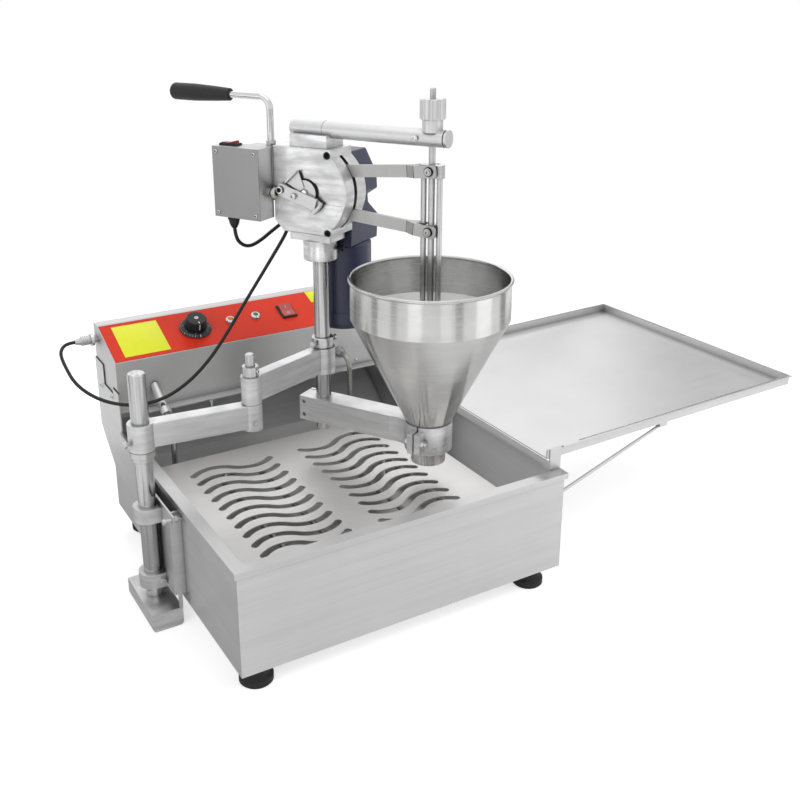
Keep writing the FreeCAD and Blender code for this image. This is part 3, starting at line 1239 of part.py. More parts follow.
rod_z = drive_top
tube("handle_tube", head_frame,
     [(handle_u, handle_y, rod_z), (handle_u, handle_y, handle_z),
      (grip_start, handle_y, handle_z)], handle_bend, handle_radius * 2)
nut = Piece("handle_nut", head_frame)
nut.pad("XY", rod_z, rod_z + 7, hexagon(handle_u, handle_y, 7.5))
nut.bore("Z", (handle_u, handle_y, rod_z - 1), 9, handle_radius)
grip = Piece("handle_grip", head_frame.at(grip_start, handle_y, handle_z, -90, "y"))
grip.turned([(0, 0), (grip_neck, 0), (grip_neck + 1.6, grip_length * 0.22),
             (grip_radius, grip_length * 0.6), (grip_radius, grip_length), (0, grip_length)])
grip.soften(6, lambda edge: round_at(edge, "z", grip_length))

# Gear motor

gear_left = shaft_u - gearbox_half
gear_right = shaft_u + gearbox_half
gear_back = head_back + gearbox_deep
waist_z = gearbox_low + waist
gearbox = Piece("gearbox", head_frame)
gearbox.pad("XZ", head_back, gear_back,
            [(gear_left, gearbox_low), (gear_right, gearbox_low), (gear_right + 2, waist_z - 24),
             (gear_right - 15, waist_z - 8), (gear_right - 16, waist_z + 5),
             (gear_right + 1, waist_z + 16), (gear_right, waist_z + 39),
             (gear_right - 19, gearbox_top), (gear_left + 19, gearbox_top),
             (gear_left, waist_z + 39)])
gearbox.soften(3, lambda edge: straight(edge, "y"))
gearbox.bore("Y", (shaft_u, head_back - 1, shaft_z), 13 + 1, shaft_radius + fit)
for name, y, z in (("front", 50, 525), ("rear", 84, 552)):
    entry = Piece("motor_gland_" + name, head_frame.at(gear_left, y, z))
    entry.rod("X", (-7, 0, 0), 7, 8)
    entry.taper("X", (-14, 0, 0), 7, cable_radius + 1.3, 7)

motor_frame = head_frame.at(shaft_u, motor_y, 0)
motor = Piece("motor", motor_frame)
motor.turned([(0, motor_seam), (motor_radius, motor_seam), (motor_radius, gearbox_low - 4),
              (motor_radius - 3, gearbox_low), (0, gearbox_low)])
motor_cap = Piece("motor_cap", motor_frame)
motor_cap.turned([(0, motor_low), (motor_radius - 9, motor_low),
                  (motor_radius + 0.8, motor_low + 9.8, 9.8, "left"),
                  (motor_radius + 0.8, motor_seam), (0, motor_seam)])

# Tray

tray_left = tank_length - tray_overlap
tray_depth = tray_rear - tray_front
tray_frame = machine.at(tray_left, tray_front, tray_floor, -tray_tilt, "y")
tray = Piece("tray_pan", tray_frame)
tray.block((0, tray_length), (0, tray_depth), (0, tray_wall))
tray.cut((-1, tray_length - gauge), (gauge, tray_depth - gauge), (gauge, tray_wall + 1))
notch_x = wall_right - tray_left + tray_clear
notch_y = ear_front - tray_front - tray_clear
tray.cut((-1, notch_x), (notch_y, tray_depth + 1), (-1, tray_wall + 1))
tray.block((0, notch_x + gauge), (notch_y - gauge, notch_y), (0, tray_wall))
tray.block((notch_x, notch_x + gauge), (notch_y - gauge, tray_depth), (0, tray_wall))
lip = dim(3.5)
lip_start = hook_width + 8
tray.block((lip_start, tray_length + lip), (-lip, 0), (tray_wall - gauge, tray_wall))
tray.block((lip_start, tray_length + lip), (tray_depth, tray_depth + lip),
           (tray_wall - gauge, tray_wall))
tray.block((tray_length, tray_length + lip), (0, tray_depth), (tray_wall - gauge, tray_wall))

hook_left = tray_left + 4
tilt_rise = sine(tray_tilt) / cosine(tray_tilt)
strut_top_x = tank_length + strut_out
strut_reach = strut_top_x - wall_right
under_tray = tray_floor + (strut_top_x - tray_left) * tilt_rise
strut_rise = under_tray - 4 - strut_foot
strut_angle = angle_of(strut_rise, strut_reach)
strut_long = root(strut_rise * strut_rise + strut_reach * strut_reach)
for name, inside, outside, strut_y in (
        ("front", tray_front + 14, tray_front - gauge, tray_front + 5),
        ("rear", tray_rear - hook_setback - 14, tray_rear - hook_setback, tray_rear - 5)):
    low_y, high_y = (outside, inside) if name == "front" else (inside, outside)
    wall_y = (outside, outside + gauge) if name == "front" else (outside - gauge, outside)
    hook_top = tray_floor + (tray_wall if name == "front" else dim(1))
    hook = Piece("tray_hook_" + name, machine)
    hook.block((hook_left, hook_left + hook_width), wall_y, (tank_top, hook_top))
    hook.block((hook_left, hook_left + hook_width), (low_y, high_y),
               (tank_top, tank_top + gauge))
    strut = Piece("tray_strut_" + name, machine)
    strut.rod("X", (0, 0, 0), strut_long, strut_radius,
              within=Frame("").at(wall_right, strut_y, strut_foot, -strut_angle, "y"))
    strut.block((wall_right, wall_right + 2.5), (strut_y - 5, strut_y + 5),
                (strut_foot - 8, strut_foot + 8))
    strut.cut((wall_right - 10, wall_right), (strut_y - 9, strut_y + 9),
              (strut_foot - 12, strut_foot + 12))
    strut.block((strut_top_x - tray_left - 9, strut_top_x - tray_left + 7),
                (strut_y - tray_front - 5, strut_y - tray_front + 5), (-6, 0),
                within=Frame("").at(tray_left, tray_front, tray_floor, -tray_tilt, "y"))

# Cables
# Round black cord. The long one goes from the plug to the gear motor in three stretches, one
# for each joint of the arm; its points, like those of the short one, are chosen by hand.

cord = cable_radius * 2
short_route = [(-121, -46, 518), (-120.5, -45, 502), (-118, -34, 489), (-115, -18, 483.5),
               (-109, 0, 489), (-101, 20, 501), (-90, 38, 514), (-75, 48.5, 524), (-58, 50, 525)]
tube("cable_short", head_frame, short_route, None, cord)
long_route = [(-30, 572, 314), (-41, 572, 314), (-51, 567, 311), (-58, 556, 305),
              (-58, 536, 293), (-52, 498, 270), (-24, 468, 249), (17, 446, 239), (63, 433, 244),
              (105, 426, 267), (142, 425, 299), (173, 426, 336), (202, 428, 375),
              (231, 428, 414), (258, 424, 454), (283, 418, 494), (294, 421.2, 531.6),
              (303.2, 414.1, 545.2), (312.3, 402.8, 552), (320.3, 388.9, 552)]


def between(first, second):
    return tuple((a + b) / 2 for a, b in zip(first, second))


first_joint = between(long_route[7], long_route[8])
second_joint = between(long_route[10], long_route[11])
tube("cable_long_1", machine, long_route[:8] + [first_joint], None, cord)
tube("cable_long_2", machine, [first_joint] + long_route[8:11] + [second_joint], None, cord)
tube("cable_long_3", machine, [second_joint] + long_route[11:], None, cord)

# Pieces fixed together for good


def joined(label, *names):
    """One node out of pieces that are welded, pressed or screwed together."""
    pieces = [next(node for node in nodes if node.Label == name) for name in names]
    group = doc.addObject("Part::MultiFuse", label)
    group.Label = label
    group.Shapes = pieces
    for piece in pieces:
        nodes.remove(piece)
    nodes.append(group)


joined("oil_tank", "tank_shell", "tank_rim")
joined("lamp_rings", "lamp_ring_orange", "lamp_ring_green")
joined("element_glands", "element_gland_left", "element_gland_right")
joined("post_bracket", "bracket_channel", "bracket_stud", "bracket_bolt")
joined("post_lugs", "post_lug_upper", "post_lug_lower", "lug_bolt")
joined("arm_1", "arm_1_link", "arm_thumb_screw", "elbow_set_screw")
joined("elbow_pin", "elbow_pin_rod", "elbow_collar")
joined("column_collar", "column_collar_ring", "column_thumb_screw", "column_rear_screw")
joined("hopper_clamp_jaw", "clamp_jaw", "clamp_bolt_front", "clamp_bolt_rear")
joined("piston", "piston_ring", "guide_rod_left", "guide_rod_right", "upper_crosshead")
joined("plunger", "plunger_rod", "plunger_disc", "lower_crosshead")
joined("beam", "beam_rod", "dosing_collar")
joined("head_base", "head_flange", "head_boss")
joined("head_screws", "head_bolt_1", "head_bolt_2", "beam_screw", "boss_thumb_screw")
joined("cam_shaft", "cam_spindle", "cam_disc", "trip_disc", "trip_bar", "trip_wing_1",
       "trip_wing_2")
joined("switch_box", "switch_box_shell", "switch_box_bracket")
joined("cable_glands", "cable_gland", "motor_gland_front", "motor_gland_rear")
joined("handle_rod", "handle_tube", "handle_nut")
joined("tray", "tray_pan", "tray_hook_front", "tray_hook_rear", "tray_strut_front",
       "tray_strut_rear")

# Checks and files

doc.recompute()
for item in doc.Objects:
    if "Invalid" in item.State or "Error" in item.State:
        raise RuntimeError(item.Label + " failed: " + str(item.State))
for node in nodes:
    shape = node.Shape
    if shape.isNull() or not shape.isValid() or not shape.Solids:
        raise RuntimeError(node.Label + " has no valid solid")
    if len(shape.Solids) > 1:
        print(node.Label, "has", len(shape.Solids), "solids")
for node in nodes:
    node.Shape.exportStep("parts/" + node.Label + ".step")
print(len(nodes), "pieces")
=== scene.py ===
"""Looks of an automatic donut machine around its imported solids.

Lengths in the code are millimetres in the machine's own frames, like the drawing's; meshes are
in metres. Each operator dresses one group of pieces.
"""
import math

import bmesh
import bpy
from bpy.props import FloatProperty, FloatVectorProperty, PointerProperty
from mathutils import Euler, Matrix, Vector


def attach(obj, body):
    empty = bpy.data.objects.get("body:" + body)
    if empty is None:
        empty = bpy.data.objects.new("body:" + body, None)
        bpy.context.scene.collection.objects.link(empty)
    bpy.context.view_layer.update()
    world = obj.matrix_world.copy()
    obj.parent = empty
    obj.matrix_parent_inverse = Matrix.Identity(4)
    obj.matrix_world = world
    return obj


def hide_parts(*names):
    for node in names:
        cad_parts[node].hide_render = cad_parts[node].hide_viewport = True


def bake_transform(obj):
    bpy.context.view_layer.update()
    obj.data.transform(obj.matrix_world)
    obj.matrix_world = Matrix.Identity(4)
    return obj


bl_info = {
    "name": "Donut Machine Looks",
    "version": (1, 0, 0),
    "blender": (4, 5, 0),
    "location": "View3D > Sidebar > Machine",
    "description": "Materials, small fasteners, cables and studio for a ring fryer with depositor",
    "category": "Object",
}

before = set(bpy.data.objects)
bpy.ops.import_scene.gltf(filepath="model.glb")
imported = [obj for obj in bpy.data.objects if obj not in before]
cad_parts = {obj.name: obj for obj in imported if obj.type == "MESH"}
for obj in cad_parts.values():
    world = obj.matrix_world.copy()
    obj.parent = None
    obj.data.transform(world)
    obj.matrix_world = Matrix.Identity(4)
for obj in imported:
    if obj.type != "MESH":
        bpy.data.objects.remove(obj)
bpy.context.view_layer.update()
MM = 0.001

# The machine's sizes in millimetres and degrees, as in its drawing

TANK_LEFT, TANK_FRONT = -481.4, -294
POST_X, POST_Y = -25.5, 255
ARM_1_LENGTH, ARM_1_ANGLE, ARM_LEVEL = 159.2, -5.4, 256.5
ARM_2_LENGTH, ELBOW_ANGLE = 154.4, 26.9
HUB_RADIUS, HUB_HEIGHT, ELBOW_RADIUS, ELBOW_COLLAR = 18.5, 40.5, 14.5, 11.5
HEAD_ANGLE, HEAD_FRONT = -81.5, -28
HOPPER_U = 182
BOX_LEFT, BOX_LENGTH, BOX_FRONT = 6, 508, 475
PANEL_FOOT, PANEL_RISE, PANEL_RUN, PANEL_THICK = 302, 36, 91, 1
KNOB_X, KNOB_UP, KNOB_GAP, KNOB_HEIGHT = 149, 48, 0.5, 22
LAMPS_X, LAMP_UP = (213, 259), 53
POWER_X, POWER_UP = 316, 50
ROCKER_TILT = 7
DRIVE_U, DRIVE_Y, DRIVE_TOP = -123, -43, 640
DRIVE_LEFT, DRIVE_RIGHT, DRIVE_FRONT, DRIVE_BOTTOM = -142, -61, -63, 537
GLAND_U, GLAND_Y = -121, -46
SHAFT_U, SHAFT_Z, TRIP_ANGLE = -4, 579, 15.4
BEAM_Z, BEAM_RADIUS, BEAM_SCREW_BACK = 666, 12, 20
LEVER_PIVOT_U, LEVER_THICK = -36, 6
UPPER_PIVOT_Z, UPPER_PIN_Z = 602.6, 622
LOWER_PIVOT_Z, LOWER_PIN_Z = 554.1, 539
SENSOR_Z, SENSOR_Y = 575, -37
SOCKET_Y, SOCKET_Z = 572, 314
TRAY_LEFT, TRAY_FRONT, TRAY_DEPTH, TRAY_FLOOR, TRAY_TILT = 497, 22, 455, 208, -1


# Places: the same chain of frames as the solids

def place(x, y, z, turn=0.0, about="Z"):
    """A frame moved by millimetres and turned by degrees."""
    return Matrix.Translation((x * MM, y * MM, z * MM)) @ Matrix.Rotation(math.radians(turn), 4, about)


def angle_of(rise, run):
    return math.degrees(math.atan2(rise, run))


machine = place(TANK_LEFT, TANK_FRONT, 0)
post = machine @ place(POST_X, POST_Y, 0)
arm_1 = post @ place(0, 0, 0, ARM_1_ANGLE)
arm_2 = arm_1 @ place(ARM_1_LENGTH, 0, 0, ELBOW_ANGLE)
head = arm_2 @ place(ARM_2_LENGTH, 0, 0, HEAD_ANGLE)
hopper = head @ place(HOPPER_U, 0, 0)
panel_sheet = machine @ place(BOX_LEFT, BOX_FRONT, PANEL_FOOT, angle_of(PANEL_RISE, PANEL_RUN), "X")
panel = panel_sheet @ place(0, 0, PANEL_THICK)
dial = panel @ place(KNOB_X, KNOB_UP, KNOB_GAP)
power_switch = panel @ place(POWER_X, POWER_UP, 1, ROCKER_TILT, "X")
drive_switch = head @ place(DRIVE_U, DRIVE_Y, DRIVE_TOP, -90) @ place(0, 0, 1, ROCKER_TILT, "X")
trip = head @ place(SHAFT_U, 0, SHAFT_Z, TRIP_ANGLE, "Y")
lever_run = HOPPER_U - LEVER_PIVOT_U
upper_rise, lower_rise = UPPER_PIN_Z - UPPER_PIVOT_Z, LOWER_PIN_Z - LOWER_PIVOT_Z
upper_lever = head @ place(LEVER_PIVOT_U, 0, UPPER_PIVOT_Z, -angle_of(upper_rise, lever_run), "Y")
lower_lever = head @ place(LEVER_PIVOT_U, 0, LOWER_PIVOT_Z, -angle_of(lower_rise, lever_run), "Y")
tray = machine @ place(TRAY_LEFT, TRAY_FRONT, TRAY_FLOOR, TRAY_TILT, "Y")


# Settings that a user would change

def linear(text):
    """An sRGB hex colour as linear RGBA."""
    values = [int(text[i:i + 2], 16) / 255 for i in (1, 3, 5)]
    return tuple(v / 12.92 if v <= 0.04045 else ((v + 0.055) / 1.055) ** 2.4 for v in values) + (1.0,)


def length(name, description, millimetres):
    return FloatProperty(name=name, description=description, default=millimetres * MM, min=0.0,
                         unit="LENGTH", precision=4)


def paint(name, description, text):
    return FloatVectorProperty(name=name, description=description, default=linear(text), size=4,
                               min=0.0, max=1.0, subtype="COLOR")


class MachineSizes(bpy.types.PropertyGroup):
    """Sizes of what is added around the solids."""

    cable: length("Cable", "Diameter of the black cables", 5.5)
    cover_screw: length("Cover screw", "Head diameter of the cross-head screws", 6.4)
    ear_screw: length("Ear screw", "Head diameter of the screws in the tank's ears", 8.0)
    fork_bolt: length("Fork bolt", "Head diameter of the bolts in the lever forks", 7.0)
    brush: length("Brush line", "Width of one brushing line on the sheet", 0.7)
    tick: length("Dial tick", "Length of the dial's marks", 2.2)


class MachineColours(bpy.types.PropertyGroup):
    """Colours of the metals and of what is painted, printed or moulded."""

    panel: paint("Panel", "Red control panel", "#D83012")
    label: paint("Label", "Bare yellow labels on the panel", "#E6EA2C")
    steel: paint("Stainless", "Brushed stainless sheet", "#E6E6E6")
    aluminium: paint("Aluminium", "Machined aluminium", "#F8F8F9")
    motor: paint("Motor", "Enamel of the gear motor", "#343852")
    rocker: paint("Rocker", "Clear red rocker of the power switch", "#CB5D59")


def sizes():
    return bpy.context.scene.machine_sizes


def colours():
    return bpy.context.scene.machine_colours


# Nodes and textures

# Sockets of a colour mix
COLOURS_IN, COLOUR_OUT = (6, 7), 2
# How far the painted shade in creases reaches over a surface, in metres, and the darkest that it gets
PAINTED_SHADE_REACH, PAINTED_SHADE_TONE = 0.014, 0.5
# Radius of the rounding that light finds on every edge, in metres
EDGE_ROUNDING = 0.0006


def add(tree, kind, settings=None, links=None):
    """One node with its settings (attributes or sockets) and links {socket: (node, output)}."""
    node = tree.nodes.new(kind)
    for name, value in (settings or {}).items():
        if isinstance(name, str) and hasattr(node, name):
            setattr(node, name, value)
        else:
            node.inputs[name].default_value = value
    for name, (source, output) in (links or {}).items():
        tree.links.new(source.outputs[output], node.inputs[name])
    return node


def cleared(owner):
    """The emptied node tree of a material or a world."""
    owner.use_nodes = True
    owner.node_tree.nodes.clear()
    return owner.node_tree


def material(name, colour, settings, texture):
    """A surface of one colour; texture(tree, shader, colour) adds its variation and bump."""
    found = bpy.data.materials.new(name)
    tree = cleared(found)
    shader = add(tree, "ShaderNodeBsdfPrincipled", dict({"Base Color": colour}, **settings))
    add(tree, "ShaderNodeOutputMaterial", {}, {"Surface": (shader, "BSDF")})
    texture(tree, shader, colour)
    return found


def ramp(tree, source, output, low, high, from_low, from_high):
    """A value mapped between two ends and kept there."""
    return add(tree, "ShaderNodeMapRange", {"From Min": from_low, "From Max": from_high,
                                            "To Min": low, "To Max": high}, {"Value": (source, output)})


def multiply(tree, first, second):
    """Two greys or a colour and a grey multiplied; each is (node, output) or a colour."""
    mix = add(tree, "ShaderNodeMix", {"data_type": "RGBA", "blend_type": "MULTIPLY", 0: 1.0})
    for socket, item in zip(COLOURS_IN, (first, second)):
        if isinstance(item[0], bpy.types.Node):
            tree.links.new(item[0].outputs[item[1]], mix.inputs[socket])
        else:
            mix.inputs[socket].default_value = item
    return mix


def noise(tree, scale, detail, roughness=0.5):
    """Noise over the object's own metres; scale is lines per metre along X, Y and Z."""
    where = add(tree, "ShaderNodeTexCoord")
    spread = add(tree, "ShaderNodeMapping", {"Scale": scale}, {"Vector": (where, "Object")})
    return add(tree, "ShaderNodeTexNoise", {"Scale": 1.0, "Detail": detail, "Roughness": roughness},
               {"Vector": (spread, "Vector")})


def handled(tree, shader, tint, gloss, height, bump, depth):
    """Wires a surface up: its tint with painted shade where it meets others, gloss, relief and soft edges.

    height is the (node, output) of the relief, bump its strength and depth its metres.
    """
    # Painted shade: ambient occlusion darkens the base colour where other surfaces come close
    closed = add(tree, "ShaderNodeAmbientOcclusion", {"samples": 6, "Distance": PAINTED_SHADE_REACH})
    painted_shade = ramp(tree, closed, "AO", PAINTED_SHADE_TONE, 1.0, 0.25, 0.9)
    toned = multiply(tree, (tint, COLOUR_OUT), (painted_shade, 0))
    tree.links.new(toned.outputs[COLOUR_OUT], shader.inputs["Base Color"])
    tree.links.new(gloss.outputs[0], shader.inputs["Roughness"])
    rounded = add(tree, "ShaderNodeBevel", {"samples": 4, "Radius": EDGE_ROUNDING})
    relief = add(tree, "ShaderNodeBump", {"Strength": bump, "Distance": depth},
                 {"Height": height, "Normal": (rounded, "Normal")})
    tree.links.new(relief.outputs["Normal"], shader.inputs["Normal"])


def brushed(along, line, rough=(0.26, 0.4), bump=0.04, dark=0.95, cloud=0.96, patch=110.0, band=1.0):
    """Brushing lines of a width in mm along one axis of the machine, over broad soft clouds.

    along is "X" on flat sheet, "Z" down bars and covers, and "H" for level lines on upright
    sheet. dark, cloud and band are the darkest of the lines, of the clouds and of the wider
    streaks that the belt leaves; patch is the clouds' size in mm.
    """
    fine, slow, belt_width = 1000.0 / line, 3.0, 14
    smear, quarter_turn = 0.8, 0.25
    scale = {"X": (slow, fine, slow), "Z": (fine, fine, slow), "H": (slow, slow, fine)}[along]

    def texture(tree, shader, colour):
        lines = noise(tree, scale, 3.0, 0.6)
        streaks = noise(tree, tuple(s if s == slow else s / belt_width for s in scale), 2.0)
        clouds = noise(tree, (1000.0 / patch,) * 3, 3.0, 0.55)
        grain = ramp(tree, lines, "Fac", dark, 1.0, 0.3, 0.7)
        broad = ramp(tree, clouds, "Fac", cloud, 1.0, 0.35, 0.65)
        belt = ramp(tree, streaks, "Fac", band, 1.0, 0.35, 0.6)
        tone = multiply(tree, (multiply(tree, (grain, 0), (broad, 0)), COLOUR_OUT), (belt, 0))
        tint = multiply(tree, colour, (tone, COLOUR_OUT))
        gloss = ramp(tree, lines, "Fac", rough[0], rough[1], 0.3, 0.7)
        handled(tree, shader, tint, gloss, (lines, "Fac"), bump, 0.0003)
        if along == "H":
            # Level lines smear what they reflect up and down
            shader.inputs["Anisotropic"].default_value = smear
            shader.inputs["Anisotropic Rotation"].default_value = quarter_turn
            tangent = add(tree, "ShaderNodeTangent", {"direction_type": "RADIAL", "axis": "Z"})
            tree.links.new(tangent.outputs["Tangent"], shader.inputs["Tangent"])

    return texture


def milled(pitch, rough=(0.26, 0.46), bump=0.08, dark=0.8):
    """Level cutter marks of a pitch in mm, smeared into cloudy bright and dull patches."""

    def texture(tree, shader, colour):
        marks = noise(tree, (14, 14, 1000.0 / pitch), 2.0, 0.5)
        smears = noise(tree, (22, 22, 90), 3.0, 0.6)
        fine = noise(tree, (900, 900, 2400), 2.0)
        low = ramp(tree, smears, "Fac", dark, 1.0, 0.35, 0.6)
        tool = ramp(tree, marks, "Fac", 0.9, 1.0, 0.35, 0.65)
        tint = multiply(tree, colour, (multiply(tree, (low, 0), (tool, 0)), COLOUR_OUT))
        gloss = ramp(tree, smears, "Fac", rough[1], rough[0], 0.35, 0.65)
        height = multiply(tree, (marks, "Fac"), (fine, "Fac"))
        handled(tree, shader, tint, gloss, (height, COLOUR_OUT), bump, 0.0004)

    return texture


def mottled(grain, rough, bump, dark, patch=16.0):
    """A grain of a size in mm under faint patches so many grains wide, as cast, moulded or painted."""

    def texture(tree, shader, colour):
        fine = noise(tree, (1000.0 / grain,) * 3, 4.0, 0.6)
        broad = noise(tree, (1000.0 / (grain * patch),) * 3, 3.0)
        tint = multiply(tree, colour, (ramp(tree, broad, "Fac", dark, 1.0, 0.3, 0.7), 0))
        gloss = ramp(tree, fine, "Fac", rough[0], rough[1], 0.3, 0.7)
        handled(tree, shader, tint, gloss, (fine, "Fac"), bump, 0.0003)

    return texture


finishes = {}


def metals(line):
    """Finishes of bare metal by name: colour, settings and texture. line is one brush line in mm."""
    metal = {"Metallic": 1.0}
    steel, aluminium = tuple(colours().steel), tuple(colours().aluminium)
    return {
        # Stainless sheet with a long-line finish: soft level streaks in the reflections
        "sheet_walls": (steel, metal,
                        brushed("H", line * 1.8, rough=(0.3, 0.46), bump=0.09, dark=0.91, band=0.95)),
        "sheet_flat": (steel, metal, brushed("X", line * 1.6, rough=(0.3, 0.42), dark=0.97)),
        # The box is folded from duller sheet and shows its brushing less
        "sheet_box": (linear("#DCDCDC"), metal, brushed("H", line * 1.4, rough=(0.34, 0.46), dark=0.96)),
        # Cover of the switch box: fine even grain, a shade darker
        "sheet_cover": (linear("#AFAFAF"), metal, brushed("Z", line, rough=(0.34, 0.46), dark=0.93)),
        # Spun cone, polished in the lathe: level rings, bright bands down its side
        "spun_steel": (linear("#E4E4E3"), metal,
                       brushed("H", line * 1.4, rough=(0.16, 0.28), bump=0.06, dark=0.93, cloud=0.9,
                               patch=45.0, band=0.97)),
        # Ground bar, drawn lengthwise: light and dark streaks run down it
        "ground_bar": (linear("#E6E6E6"), metal, brushed("Z", 5.0, rough=(0.14, 0.26), bump=0.02, dark=0.55)),
        # Milled and sanded aluminium plate: pale, cloudy, with tool marks
        "milled_plate": (aluminium, metal, milled(7.0)),
        "sanded_arm": (linear("#EAEAEB"), metal, milled(5.0, rough=(0.32, 0.46), dark=0.9)),
        # Drawn and turned aluminium: smooth and pale, soft edges to its highlights
        "drawn_bar": (linear("#EDEDEE"), metal, mottled(0.6, (0.32, 0.42), 0.02, 0.97)),
        # Laser-cut steel levers with a dull mill face
        "lever_steel": (linear("#CDCDCC"), metal, mottled(0.8, (0.42, 0.55), 0.04, 0.94)),
        # Turned steel: fine even grain, bright
        "turned_steel": (linear("#D8D8D8"), metal, mottled(0.5, (0.2, 0.3), 0.02, 0.96)),
        # Slotted plate: satin from use in oil, no direction to it
        "oiled_plate": (linear("#E8E7E5"), {"Metallic": 0.85},
                        mottled(1.2, (0.34, 0.5), 0.03, 0.92, patch=60.0)),
        # Heating tube, stained by the oil
        "stained_tube": (linear("#C6C3BD"), metal, mottled(2.5, (0.22, 0.4), 0.08, 0.78)),
        # Chrome plate: close to a mirror
        "chrome": (linear("#EDEDEE"), metal, mottled(1.0, (0.06, 0.12), 0.01, 0.98)),
        # Zinc plate: pale, a little uneven
        "zinc": (linear("#D9D8D4"), metal, mottled(0.6, (0.25, 0.38), 0.05, 0.9)),
        # Blackened socket screws
        "black_oxide": (linear("#262627"), {"Metallic": 0.8}, mottled(0.6, (0.3, 0.42), 0.05, 0.85)),
    }


def plastics_and_paints():
    """Finishes of what is moulded, printed or painted, by name: colour, settings and texture."""
    lens, dyed = mottled(0.8, (0.1, 0.16), 0.02, 0.9), mottled(0.8, (0.14, 0.2), 0.02, 0.9)
    mark = mottled(0.5, (0.4, 0.5), 0.01, 0.97)
    return {
        # Printed panel and labels under a matt film
        "panel_film": (tuple(colours().panel), {"Specular IOR Level": 0.2},
                       mottled(0.7, (0.42, 0.5), 0.02, 0.96)),
        "label_film": (tuple(colours().label), {"Specular IOR Level": 0.3},
                       mottled(0.7, (0.42, 0.5), 0.02, 0.97)),
        # Moulded plastics: fine spark grain, soft sheen
        "black_moulded": (linear("#161617"), {}, mottled(0.5, (0.3, 0.42), 0.05, 0.85)),
        "grip_moulded": (linear("#1D1D1F"), {}, mottled(0.7, (0.4, 0.52), 0.3, 0.85)),
        "rubber": (linear("#1B1B1C"), {}, mottled(1.1, (0.5, 0.65), 0.12, 0.85)),
        "cable_skin": (linear("#161617"), {}, mottled(0.9, (0.3, 0.45), 0.05, 0.9)),
        "cream_plastic": (linear("#CDC9BC"), {}, mottled(0.6, (0.35, 0.5), 0.04, 0.9)),
        "dial_skirt": (linear("#4A4C50"), {"Metallic": 0.7}, mottled(0.5, (0.26, 0.34), 0.03, 0.9)),
        # Printed marks
        "dial_print": (linear("#EDEDE8"), {}, mark),
        "switch_mark": (linear("#F2EDEA"), {}, mark),
        # Lamp lenses and rockers: clear dyed plastic
        "orange_lens": (linear("#F08A1C"), {"Transmission Weight": 0.2}, lens),
        "green_lens": (linear("#2E8A66"), {"Transmission Weight": 0.2}, lens),
        "red_rocker": (tuple(colours().rocker), {"Transmission Weight": 0.15}, dyed),
        "dark_rocker": (linear("#9C2220"), {"Transmission Weight": 0.15}, dyed),
        # Gear motor: dark blue-grey enamel over a casting
        "motor_enamel": (tuple(colours().motor), {"Coat Weight": 0.25, "Coat Roughness": 0.25},
                         mottled(3.0, (0.34, 0.46), 0.14, 0.85)),
        # Painted shade: a flat dark laid in joints, folds and screw crosses where shade would fall
        "shadow_gap": (linear("#1A1A1A"), {}, mottled(0.8, (0.6, 0.8), 0.02, 0.8)),
    }


NODE_FINISH = {
    "sheet_walls": "oil_tank post_bracket",
    "oiled_plate": "slotted_plate",
    "sheet_flat": "tray",
    "rubber": "rubber_foot_1 rubber_foot_2 rubber_foot_3 rubber_foot_4",
    "sheet_box": "control_box control_box_base switch_box",
    "sheet_cover": "switch_box_cover",
    "panel_film": "control_panel",
    "black_moulded": "thermostat_knob power_switch_bezel drive_switch_bezel cable_glands",
    "chrome": "lamp_rings handle_rod cable_socket",
    "orange_lens": "lamp_lens_orange",
    "green_lens": "lamp_lens_green",
    "red_rocker": "power_rocker",
    "dark_rocker": "drive_rocker",
    "turned_steel": "element_glands post_collar column_collar piston plunger cam_shaft",
    "stained_tube": "heating_element",
    "milled_plate": "post_base post_lugs beam_saddle head_front_plate head_rear_plate head_base "
                    "hopper_clamp_jaw",
    "sanded_arm": "arm_1 arm_2 hopper_bracket",
    "ground_bar": "post elbow_pin column",
    "spun_steel": "hopper",
    "drawn_bar": "dosing_knob beam",
    "black_oxide": "head_screws",
    "lever_steel": "upper_lever lower_lever",
    "zinc": "trip_sensor cable_plug",
    "grip_moulded": "handle_grip",
    "motor_enamel": "gearbox motor motor_cap",
}


# Meshes

def put(name, data):
    """A new object in the scene."""
    made = bpy.data.objects.new(name, data)
    bpy.context.scene.collection.objects.link(made)
    return made


def piece(name, bm, where, finish, body):
    """A finished mesh object from bmesh millimetres in a frame, riding on a body."""
    bmesh.ops.remove_doubles(bm, verts=bm.verts, dist=1e-4)
    bmesh.ops.recalc_face_normals(bm, faces=bm.faces)
    mesh = bpy.data.meshes.new(name)
    bm.to_mesh(mesh)
    bm.free()
    mesh.transform(where @ Matrix.Scale(MM, 4))
    mesh.shade_smooth()
    mesh.set_sharp_from_angle(angle=math.radians(35))
    mesh.materials.append(finishes[finish])
    made = put(name, mesh)
    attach(made, body)
    return made


def circle(turns):
    """The angles of so many equal steps round a circle."""
    return [2 * math.pi * k / turns for k in range(turns)]


def lathe(bm, profile, spot=(0, 0, 0), axis="Z", turns=48):
    """A profile of (radius, height) turned about an axis through spot."""
    basis = {"Z": Matrix.Identity(4), "X": Matrix.Rotation(math.pi / 2, 4, "Y"),
             "-X": Matrix.Rotation(-math.pi / 2, 4, "Y"), "-Y": Matrix.Rotation(math.pi / 2, 4, "X")}[axis]
    to = Matrix.Translation(spot) @ basis
    rings = []
    for radius, height in profile:
        if radius < 1e-6:
            rings.append([bm.verts.new(to @ Vector((0, 0, height)))])
            continue
        rings.append([bm.verts.new(to @ Vector((radius * math.cos(a), radius * math.sin(a), height)))
                      for a in circle(turns)])
    for low, high in zip(rings, rings[1:]):
        for k in range(turns):
            corners = [low[k % len(low)], low[(k + 1) % len(low)],
                       high[(k + 1) % len(high)], high[k % len(high)]]
            unique = list(dict.fromkeys(corners))
            if len(unique) > 2:
                bm.faces.new(unique)


